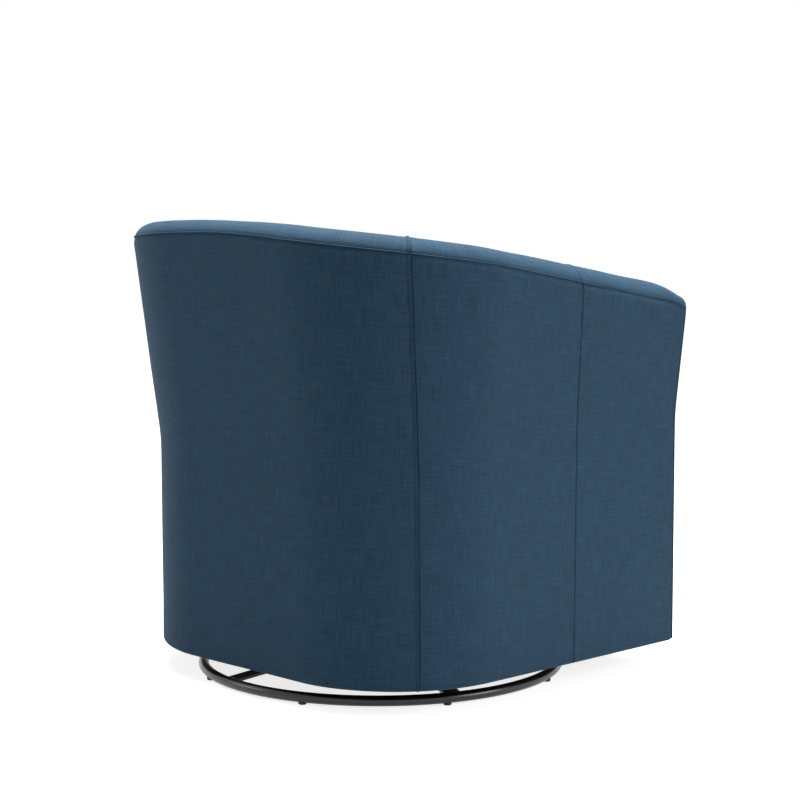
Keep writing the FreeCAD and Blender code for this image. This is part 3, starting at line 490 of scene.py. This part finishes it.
def seamSide(distance, ridge):
    # beside a seam: the folded edge stands up as a wedge, the other cover is drawn in; the second value is
    # painted shade at the wedge's foot and in the seam
    if ridge:
        wedge = clamp(1 - distance / panel["ridgeWidth"])
        edge = math.exp(-((distance - panel["ridgeWidth"]) / panel["line"]) ** 2)
        # painted shade at the foot of the wedge and in the seam itself
        return ridge * wedge ** 0.7, 0.3 * edge + 0.5 * math.exp(-(distance / 0.0003) ** 2)
    return -panel["tuck"] * math.exp(-(distance / panel["tuckReach"]) ** 2), \
        math.exp(-(distance / panel["line"]) ** 2)


def panelRelief(seed, ridges):
    # ridges tells how high the folded edge stands at each end
    def relief(u, t, length, ends, z):
        # lift moves the cloth; dark adds up painted seam shade
        lift, dark = 0.0, 0.0
        shown = 1 - ease((t - 0.9) / 0.08)
        for distance, ridge in zip(ends, ridges):
            step, tone = seamSide(distance, ridge)
            fade = math.exp(-distance / 0.02)
            lift += step + panel["pucker"] * fade * ripple(distance, length, 0.011, seed)
            dark += tone
        # painted shade line along the top edge, under the roll's seam
        dark += 0.8 * math.exp(-(length / panel["line"]) ** 2)
        lift += panel["pucker"] * math.exp(-length / 0.016) * ripple(u, length, 0.014, seed + 3)
        edge = ease(min(ends[0], ends[1], length) / 0.05)
        lift += panel["wave"] * edge * ripple(u, length, 0.11, seed + 7)
        return lift * shown, clamp(dark)
    return relief


def fixedLine(value):
    return lambda z: value


def seamLine(marks, sign=1):
    return lambda z: sign * along(z, marks)


def outsidePanel(name, start, end, columns, seed, ridges):
    bm = sweep(start, end, panelOutline, columns, panel["rows"], panelRelief(seed, ridges), closed=False)
    piece = newPiece(name + "_cover", bm, linen, stands=(name,))
    thicken(piece, panel["thickness"])
    return piece


gap = 0.00004                  # between the cloth of two neighbours
rearRight, rearLeft = seamLine(rearSeamLine), seamLine(rearSeamLine, -1)
sideRight, sideLeft = seamLine(sideSeamLine), seamLine(sideSeamLine, -1)
outsidePanel("outside_back", lambda z: rearLeft(z) + gap, lambda z: rearRight(z) - gap, 150, 1,
             (panel["ridge"], panel["ridge"]))
outsidePanel("outside_corner_right", lambda z: rearRight(z) + gap, lambda z: sideRight(z) - gap, 90, 2,
             (0, 0))
outsidePanel("outside_corner_left", lambda z: sideLeft(z) + gap, lambda z: rearLeft(z) - gap, 90, 3, (0, 0))
outsidePanel("outside_arm_right", lambda z: sideRight(z) + gap, fixedLine(pathEnd), 76, 4, (0, 0))
outsidePanel("outside_arm_left", fixedLine(-pathEnd), lambda z: sideLeft(z) - gap, 76, 5, (0, 0))
print("stage: outside panels")


# The top roll

roll = {
    "rows": 72,
    "rearSeam": 0.64,          # heights at which its cross seams leave the panels' seams
    "sideSeam": 0.58,
    "ridge": 0.0022,           # folded edge of the rear cross seams
    "sideRidge": 0.0009,
    "wave": 0.0006,
}


def rollOutline(u, t):
    # closed: up from the outer seam over the crest to the inner seam, and back underneath
    base, out, height = seamHeight(u), seamOut(u), rollHeight(u)
    width, crest = tub["rollWidth"] - tub["seamPull"], shoulder(u, math.pi / 2)[0]
    if t <= 0.1:
        return out - 0.5 * width * (1 - t / 0.1), base
    if t <= 0.45:
        inset, rise = shoulder(u, (t - 0.1) / 0.35 * math.pi / 2)
        return out - inset, base + rise
    if t <= 0.9:
        turn = (t - 0.45) / 0.45 * math.pi / 2
        return (out - crest - (width - crest) * math.sin(turn) ** 0.9,
                base + height * max(math.cos(turn), 0) ** 0.8)
    return out - width + 0.5 * width * (t - 0.9) / 0.1, base


def rollRelief(seed, ridges):
    def relief(u, t, length, ends, z):
        shown = ease((t - 0.1) / 0.03) * (1 - ease((t - 0.87) / 0.03))
        # dark adds up painted shade at the cross seams
        lift, dark = 0.0, 0.0
        for distance, ridge in zip(ends, ridges):
            if ridge is None:
                continue
            step, tone = seamSide(distance, ridge)
            fade = math.exp(-distance / 0.015)
            lift += step + panel["pucker"] * fade * ripple(distance, length, 0.009, seed)
            dark += tone
        lift += roll["wave"] * ripple(u, length, 0.06, seed + 5)
        return lift * shown, clamp(dark)
    return relief


def rollPiece(name, start, end, columns, seed, ridges):
    bm = sweep(start, end, rollOutline, columns, roll["rows"], rollRelief(seed, ridges))
    return newPiece(name + "_cover", bm, linen, stands=(name,))


rollRear, rollSide = rearRight(roll["rearSeam"]), sideRight(roll["sideSeam"])
rollPiece("top_roll_back", fixedLine(-rollRear + gap), fixedLine(rollRear - gap), 150, 11,
          (roll["ridge"], roll["ridge"]))
rollPiece("top_roll_corner_right", fixedLine(rollRear + gap), fixedLine(rollSide - gap), 90, 12,
          (0, roll["sideRidge"]))
rollPiece("top_roll_corner_left", fixedLine(-rollSide + gap), fixedLine(-rollRear - gap), 90, 13,
          (roll["sideRidge"], 0))
rollPiece("top_roll_arm_right", fixedLine(rollSide + gap), fixedLine(pathEnd), 76, 14, (0, None))
rollPiece("top_roll_arm_left", fixedLine(-pathEnd), fixedLine(-rollSide - gap), 76, 15, (None, 0))
print("stage: top roll")


# The thin fold that stands out of the seam under the roll

fold = {"radius": 0.001, "columns": 420, "rows": 8}


def foldOutline(u, t):
    radius = fold["radius"] * (1 - 0.6 * ease((abs(u) - 0.6) / 0.08))
    turn = t * 2 * math.pi
    return seamOut(u) + radius * (0.9 + math.cos(turn)), seamHeight(u) + radius * (0.35 + math.sin(turn))


bm = sweep(fixedLine(-pathEnd), fixedLine(pathEnd), foldOutline, fold["columns"], fold["rows"], pull=0)
newPiece("roll_seam_fold", bm, linen)


# The inside of the wall

inside = {
    "rows": 60,
    "crown": 0.009,
    "thickness": 0.034,
    "hollow": 0.003,           # how far a seam draws the padding in
    "wave": 0.001,
}


def insideOutline(u, t):
    low, top = tub["deckTop"], seamHeight(u) - 0.0004
    lowIn, topIn = -tub["wallWidth"], lean(u, top) - tub["rollWidth"]
    deepLow, deepTop = lowIn + inside["thickness"], topIn + inside["thickness"]
    deepMiddle, middle = mix(lowIn, topIn, 0.5) + inside["thickness"], mix(low, top, 0.5)
    if t <= 0.1:
        share = t / 0.1
        return mix(deepMiddle, deepTop, share), mix(middle, top, share)
    if t <= 0.2:
        return topIn + inside["thickness"] * (1 - (t - 0.1) / 0.1), top
    if t <= 0.8:
        share = (t - 0.2) / 0.6
        z = mix(top, low, gather(share, 0.6))
        deep = math.sin(math.pi * clamp((z - low) / (top - low))) ** 0.7
        return mix(lowIn, topIn, (z - low) / (top - low)) - inside["crown"] * deep, z
    if t <= 0.9:
        return lowIn + inside["thickness"] * (t - 0.8) / 0.1, low
    share = (t - 0.9) / 0.1
    return mix(deepLow, deepMiddle, share), mix(low, middle, share)


def insideRelief(seed, seams):
    def relief(u, t, length, ends, z):
        shown = ease((t - 0.2) / 0.02) * (1 - ease((t - 0.78) / 0.02))
        lift, dark = 0.0, 0.0
        for distance, seam in zip(ends, seams):
            if not seam:
                continue
            lift -= (inside["hollow"] * math.exp(-(distance / 0.006) ** 2)
                     + panel["tuck"] * math.exp(-(distance / 0.002) ** 2))
            # painted shade line in the seam's hollow
            dark += math.exp(-(distance / 0.0013) ** 2)
            lift += 0.0009 * math.exp(-distance / 0.02) * ripple(distance, length, 0.014, seed)
        lift += inside["wave"] * ripple(u, length, 0.09, seed + 5)
        return lift * shown, clamp(dark)
    return relief


def insidePiece(name, start, end, columns, seed, seams):
    bm = sweep(fixedLine(start), fixedLine(end), insideOutline, columns, inside["rows"],
               insideRelief(seed, seams))
    return newPiece(name + "_cover", bm, linen, stands=(name,))


insidePiece("inside_back", -rollRear + gap, rollRear - gap, 120, 21, (1, 1))
insidePiece("inside_arm_right", rollRear + gap, pathEnd, 110, 22, (1, 0))
insidePiece("inside_arm_left", -pathEnd, -rollRear - gap, 110, 23, (0, 1))
print("stage: inside padding")


# Arm fronts

armFront = {"depth": 0.005, "edge": 0.006, "steps": 6, "points": 140}


def armEndSpot(t):
    # round the end of an arm: up its outer edge, over the roll, and down its inner edge
    base, bottom, deck = seamHeight(pathEnd), tub["skirtBottom"], tub["deckTop"]
    out, height, crest = seamOut(pathEnd), rollHeight(pathEnd), shoulder(pathEnd, math.pi / 2)[0]
    width, inner = tub["rollWidth"] - tub["seamPull"], tub["wallWidth"]
    if t <= 0.32:
        z = mix(bottom + 0.004, base, t / 0.32)
        return faceOut(pathEnd, z), z
    if t <= 0.4:
        inset, rise = shoulder(pathEnd, (t - 0.32) / 0.08 * math.pi / 2)
        return out - inset, base + rise
    if t <= 0.5:
        turn = (t - 0.4) / 0.1 * math.pi / 2
        return out - crest - (width - crest) * math.sin(turn) ** 0.9, base + height * math.cos(turn) ** 0.8
    if t <= 0.7:
        share = (t - 0.5) / 0.2
        z = mix(base, deck, share)
        return mix(out - width, -inner, share) - inside["crown"] * math.sin(math.pi * (1 - share)) ** 0.7, z
    if t <= 0.92:
        return -inner, mix(deck, bottom + 0.004, (t - 0.7) / 0.22)
    return mix(-inner, 0, (t - 0.92) / 0.08), bottom + 0.004 - 0.004 * math.sin((t - 0.92) / 0.08 * math.pi)


def armFrontPiece(name, side):
    bm = bmesh.new()
    ring = bmesh.ops.create_circle(bm, cap_ends=True, segments=armFront["points"], radius=1)["verts"]
    for vert in ring:
        t = (math.atan2(vert.co.y, vert.co.x) / (2 * math.pi)) % 1
        out, z = armEndSpot(t)
        vert.co = Vector((side * (tub["halfWidth"] + out), -tub["frontReach"] - 0.0002, z))
    bm.normal_update()
    if bm.faces[:][0].normal.y > 0:
        bmesh.ops.reverse_faces(bm, faces=bm.faces)
    for step in range(armFront["steps"]):
        a, b = (math.pi / 2 * (step + more) / armFront["steps"] for more in (0, 1))
        front = min(bm.faces, key=lambda face: face.calc_center_median().y - face.calc_area())
        bmesh.ops.inset_region(bm, faces=[front], use_even_offset=True, use_boundary=True,
                               thickness=armFront["edge"] * (math.cos(a) - math.cos(b)) + 0.00005,
                               depth=armFront["depth"] * (math.sin(b) - math.sin(a)))
    bmesh.ops.triangulate(bm, faces=[face for face in bm.faces if len(face.verts) > 4])
    uvs = bm.loops.layers.uv.new("cloth")
    bm.verts.layers.float.new("paintedSeamShade")
    for face in bm.faces:
        for loop in face.loops:
            loop[uvs].uv = (loop.vert.co.x, loop.vert.co.z)
    piece = newPiece(name + "_pad", bm, linen, stands=(name,))
    thicken(piece, 0.003)
    return piece


armFrontPiece("arm_front_cover_right", -1)
armFrontPiece("arm_front_cover_left", 1)


# Front apron

apron = {
    "setback": 0.004,
    "columns": 90,
    "rows": 80,
    "wrap": 0.06,              # how far it goes back over the front rail
}
bm = bmesh.new()
bmesh.ops.create_grid(bm, x_segments=apron["columns"], y_segments=apron["rows"], size=1)
uvs = bm.loops.layers.uv.new("cloth")
bm.verts.layers.float.new("paintedSeamShade")
for vert in bm.verts:
    x = gather((vert.co.x + 1) / 2, 0.8) * 2 - 1
    t = (vert.co.y + 1) / 2
    rise, back = min(t / 0.85, 1), max(0, t - 0.85) / 0.15
    z = mix(tub["skirtBottom"], tub["deckTop"] + 0.0003, gather(rise, 0.8))
    crown = 0.002 * (1 - x ** 4) * (1 - (2 * rise - 1) ** 6)
    rounded = 0.004 * (1 - math.sqrt(clamp(1 - clamp((rise - 0.96) / 0.04) ** 2)))
    wave = 0.0006 * ripple(x, z, 0.1, 31)
    y = -tub["frontReach"] + apron["setback"] - 0.003 - crown + rounded - wave + apron["wrap"] * back
    vert.co = Vector((x * (tub["halfWidth"] - tub["wallWidth"] - 0.0004), y, z))
for face in bm.faces:
    for loop in face.loops:
        loop[uvs].uv = (loop.vert.co.x, loop.vert.co.z)
bm.normal_update()
if bm.faces[:][0].normal.y > 0:
    bmesh.ops.reverse_faces(bm, faces=bm.faces)
apronPiece = newPiece("front_apron_cover", bm, linen, stands=("front_apron",))
thicken(apronPiece, 0.003)
print("stage: fronts")


# Seat cushion

cushion = {
    "rearRadius": 0.104,
    "frontRadius": 0.042,
    "edge": 0.112,
    "topRim": 0.012,
    "lowRim": 0.004,
    "clear": 0.0006,           # from the wall and the deck
    "crown": 0.016,
    "crownMiddle": -0.06,
    "crownReach": 0.26,
    "seams": (0.014, 0.008),   # up from its underside, and down from its edge
    "seamWidth": 0.0022,
    "seamDepth": 0.0016,
    "wave": 0.0007,
    "voxel": 0.006,
    "pressure": 2.5,
    "cap": 0.006,
}


def cushionStart():
    side = tub["halfWidth"] - tub["wallWidth"] - cushion["clear"] - inside["crown"] * 0.4
    back = tub["backReach"] - tub["wallWidth"] - cushion["clear"] - inside["crown"] * 0.4
    front = -tub["frontReach"] - 0.003
    low = tub["deckTop"] + cushion["clear"]
    bm = bmesh.new()
    bmesh.ops.create_cube(bm, size=1)
    bmesh.ops.scale(bm, vec=Vector((2 * side, back - front, cushion["edge"])), verts=bm.verts)
    bmesh.ops.translate(bm, vec=Vector((0, (back + front) / 2, low + cushion["edge"] / 2)), verts=bm.verts)
    for wanted, radius in ((lambda y: y > 0, cushion["rearRadius"]),
                           (lambda y: y < 0, cushion["frontRadius"])):
        edges = [edge for edge in bm.edges if abs(edge.verts[0].co.z - edge.verts[1].co.z) > 0.05
                 and abs(abs(edge.verts[0].co.x) - side) < 0.001 and wanted(edge.verts[0].co.y)
                 and (abs(edge.verts[0].co.y - back) < 0.001 or abs(edge.verts[0].co.y - front) < 0.001)]
        bmesh.ops.bevel(bm, geom=edges, offset=radius, offset_type="OFFSET", segments=12, profile=0.5,
                        affect="EDGES", material=-1)
    rims = [edge for edge in bm.edges if abs(edge.verts[0].co.z - edge.verts[1].co.z) < 0.001
            and any(abs(face.normal.z) > 0.9 for face in edge.link_faces)
            and any(abs(face.normal.z) < 0.1 for face in edge.link_faces)]
    for wanted, radius in ((lambda z: z > low + 0.05, cushion["topRim"]),
                           (lambda z: z < low + 0.05, cushion["lowRim"])):
        edges = [edge for edge in rims if edge.is_valid and wanted(edge.verts[0].co.z)]
        bmesh.ops.bevel(bm, geom=edges, offset=radius, offset_type="OFFSET", segments=4, profile=0.5,
                        affect="EDGES", material=-1)
    return bm, low


def swell(piece, voxel, pressure, cap, frames=12):
    # voxel remesh, then cloth under pressure with every point's travel capped
    remesh = piece.modifiers.new("even", "REMESH")
    remesh.mode = "VOXEL"
    remesh.voxel_size = voxel
    bpy.context.view_layer.objects.active = piece
    bpy.ops.object.modifier_apply(modifier=remesh.name)
    start = [vert.co.copy() for vert in piece.data.vertices]
    sim = piece.modifiers.new("cloth", "CLOTH")
    sim.settings.use_pressure = True
    sim.settings.uniform_pressure_force = pressure
    sim.settings.quality = 6
    sim.settings.tension_stiffness = 22
    sim.settings.bending_stiffness = 0.8
    sim.settings.effector_weights.gravity = 0
    scene.frame_start = 1
    for number in range(1, frames + 1):
        scene.frame_set(number)
    shape = piece.evaluated_get(bpy.context.evaluated_depsgraph_get()).data
    moved = [vert.co.copy() for vert in shape.vertices]
    piece.modifiers.remove(sim)
    scene.frame_set(1)
    for vert, before, after in zip(piece.data.vertices, start, moved):
        step = after - before
        if step.length > cap:
            step *= cap / step.length
        vert.co = before + step


def makeCushion():
    bm, low = cushionStart()
    piece = newPiece("seat_cushion_cover", bm, linen, stands=("seat_cushion",))
    high = low + cushion["edge"]
    swell(piece, cushion["voxel"], cushion["pressure"], cushion["cap"])
    bm = bmesh.new()
    bm.from_mesh(piece.data)
    bmesh.ops.triangulate(bm, faces=[face for face in bm.faces if len(face.verts) > 4])
    bmesh.ops.smooth_vert(bm, verts=bm.verts, factor=0.4,
                          use_axis_x=True, use_axis_y=True, use_axis_z=True)
    bmesh.ops.subdivide_edges(bm, edges=bm.edges, cuts=1, use_grid_fill=True, smooth=0)
    side = tub["halfWidth"] - tub["wallWidth"] - 0.001
    for vert in bm.verts:
        co = vert.co
        reach = math.hypot(co.x / side, (co.y - cushion["crownMiddle"]) / cushion["crownReach"])
        co.z += cushion["crown"] * ease(1.15 - reach) * clamp((co.z - low) / cushion["edge"])
        co.z = max(co.z, low)
    bm.normal_update()
    uvs = bm.loops.layers.uv.verify()
    paintedSeamShade = bm.verts.layers.float.new("paintedSeamShade")
    for vert in bm.verts:
        # the seam grooves are drawn in and given painted shade, darker where the groove is deeper
        if abs(vert.normal.z) < 0.95:
            for height in (low + cushion["seams"][0], high - cushion["seams"][1]):
                near = abs(vert.co.z - height)
                depth = math.exp(-(near / cushion["seamWidth"]) ** 2) * (1 - abs(vert.normal.z)) ** 0.3
                vert.co -= vert.normal * cushion["seamDepth"] * depth
                vert[paintedSeamShade] = max(vert[paintedSeamShade], depth)
        vert.co += vert.normal * cushion["wave"] * noise.noise(vert.co * 14 + Vector((3, 0, 0)))
    for face in bm.faces:
        flat = abs(face.normal.z) > 0.7
        for loop in face.loops:
            co = loop.vert.co
            loop[uvs].uv = (co.x, co.y) if flat else (co.x + co.y, co.z)
    bm.to_mesh(piece.data)
    bm.free()
    piece.data.uv_layers[0].name = "cloth"
    for face in piece.data.polygons:
        face.use_smooth = True
    return piece


makeCushion()
print("stage: cushion")


# Deck and underside: webbing, felt and dust cloth

def clothOver(node, name, material, sag, cell):
    # a finely divided copy of a flat soft node, sagging a little between its fixings
    bm = bmesh.new()
    bm.from_mesh(frame["nodes"][node].data)
    bmesh.ops.remove_doubles(bm, verts=bm.verts, dist=0.00001)
    low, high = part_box(node)
    for axis in (0, 1):
        steps = int((high[axis] - low[axis]) / cell)
        for step in range(1, steps):
            spot, normal = Vector((0, 0, 0)), Vector((0, 0, 0))
            spot[axis], normal[axis] = low[axis] + step * cell, 1
            bmesh.ops.bisect_plane(bm, geom=bm.verts[:] + bm.edges[:] + bm.faces[:],
                                   plane_co=spot, plane_no=normal)
    for vert in bm.verts:
        x = 2 * (vert.co.x - low.x) / (high.x - low.x) - 1
        y = 2 * (vert.co.y - low.y) / (high.y - low.y) - 1
        vert.co.z -= sag * (1 - x * x) * (1 - y * y) * (0.7 + 0.5 * ripple(vert.co.x, vert.co.y, 0.05, 41))
    return newPiece(name, bm, material, stands=(node,), smooth=False)


clothOver("dust_cover", "dust_cover_cloth", finishes["dust_cloth"], 0.002, 0.03)
clothOver("deck_pad", "deck_felt", finishes["felt"], 0.0, 0.04)
clothOver("webbing_lengthwise", "webbing_straps_long", finishes["webbing"], 0.0, 0.03)
clothOver("webbing_crosswise", "webbing_straps_cross", finishes["webbing"], 0.0, 0.03)
print("stage: deck and underside")


# Floor, light and camera

studio = {
    "worldStrength": 0.28,
    "floorTone": 0.45,         # what the floor sends back to the chair
    "floorSeen": 0.6,          # its own tone in the picture, so the shadow stays soft
    "floorGlow": 0.8,
}
lights = [
    # name, place, size, power, where it points
    ("keyLight", (-1.7, 3.1, 2.6), 2.4, 4, (0, 0, 0.35)),
    ("sideLight", (-3.4, -1.2, 1.6), 2.0, 67, (0, 0, 0.4)),
    ("rimLight", (2.6, 2.4, 1.6), 1.6, 19, (0, 0, 0.4)),
    ("topLight", (-0.1, -0.2, 3.2), 2.2, 262, (0, 0, 0)),
]
camera = {
    "place": (-2.5448, 2.4172, 0.8153),
    "heading": 0.8025,         # turn from the chair's axis
    "pitch": 0.1156,           # looking down
    "roll": -0.002,
    "lens": 2338.13 / 800 * 36,
}


def makeWorld():
    world = bpy.data.worlds.new("studio")
    scene.world = world
    world.use_nodes = True
    tree = world.node_tree
    tree.nodes.clear()
    output = tree.nodes.new("ShaderNodeOutputWorld")
    path = tree.nodes.new("ShaderNodeLightPath")
    lit, seen, pick = (tree.nodes.new(kind) for kind in (
        "ShaderNodeBackground", "ShaderNodeBackground", "ShaderNodeMixShader"))
    lit.inputs["Strength"].default_value = studio["worldStrength"]
    seen.inputs["Color"].default_value = (1, 1, 1, 1)
    lit.inputs["Color"].default_value = (1, 1, 1, 1)
    first, second = (tree.nodes.new("ShaderNodeMath") for _ in range(2))
    for node in (first, second):
        node.operation = "MAXIMUM"
    tree.links.new(path.outputs["Is Camera Ray"], first.inputs[0])
    tree.links.new(path.outputs["Is Glossy Ray"], first.inputs[1])
    tree.links.new(first.outputs[0], second.inputs[0])
    tree.links.new(path.outputs["Is Transmission Ray"], second.inputs[1])
    tree.links.new(second.outputs[0], pick.inputs[0])
    tree.links.new(lit.outputs[0], pick.inputs[1])
    tree.links.new(seen.outputs[0], pick.inputs[2])
    tree.links.new(pick.outputs[0], output.inputs[0])


def makeFloor():
    bm = bmesh.new()
    bmesh.ops.create_grid(bm, x_segments=8, y_segments=8, size=14)
    mesh = bpy.data.meshes.new("floor")
    bm.to_mesh(mesh)
    bm.free()
    floor = bpy.data.objects.new("floor", mesh)
    scene.collection.objects.link(floor)
    n = Nodes("paleFloor", Roughness=0.9, Specular_IOR_Level=0.1)
    spot = n.add("TexCoord").outputs["Object"]
    path = n.add("LightPath")
    seen = n.math("MAXIMUM", n.math("MAXIMUM", path.outputs["Is Camera Ray"], path.outputs["Is Glossy Ray"]),
                  path.outputs["Is Transmission Ray"])
    glow = n.add("Emission", Strength=1.0)
    glow.inputs["Color"].default_value = (studio["floorGlow"],) * 3 + (1,)
    n.link(seen, glow.inputs["Strength"])
    cloud = n.math("ADD", 0.98, n.math("MULTIPLY", n.noise(spot, 3, 2), 0.04))
    tone = n.blend(seen, *((studio[name],) * 3 + (1,) for name in ("floorTone", "floorSeen")))
    tone = n.blend(1.0, tone, cloud, "MULTIPLY")
    both = n.add("AddShader")
    n.out(tone)
    output = n.tree.nodes["Material Output"]
    n.link(n.shader.outputs[0], both.inputs[0])
    n.link(glow.outputs[0], both.inputs[1])
    n.link(both.outputs[0], output.inputs["Surface"])
    mesh.materials.append(n.material)


def makeLights():
    for name, spot, size, power, aim in lights:
        lamp = bpy.data.lights.new(name, "AREA")
        lamp.shape, lamp.size, lamp.energy = "DISK", size, power
        item = bpy.data.objects.new(name, lamp)
        scene.collection.objects.link(item)
        item.location = spot
        item.rotation_euler = (Vector(aim) - Vector(spot)).to_track_quat("-Z", "Y").to_euler()


def makeCamera():
    lens = bpy.data.cameras.new("camera")
    lens.lens, lens.sensor_width = camera["lens"], 36
    lens.clip_start, lens.clip_end = 0.1, 60
    item = bpy.data.objects.new("camera", lens)
    scene.collection.objects.link(item)
    item.location = camera["place"]
    level = math.cos(camera["pitch"])
    view = Vector((math.sin(camera["heading"]) * level, -math.cos(camera["heading"]) * level,
                   -math.sin(camera["pitch"])))
    turn = view.to_track_quat("-Z", "Y").to_matrix() @ Matrix.Rotation(camera["roll"], 3, "Z")
    item.rotation_euler = turn.to_euler()
    scene.camera = item


makeWorld()
makeFloor()
makeLights()
makeCamera()
scene.view_settings.view_transform = "Standard"
print("stage: studio")
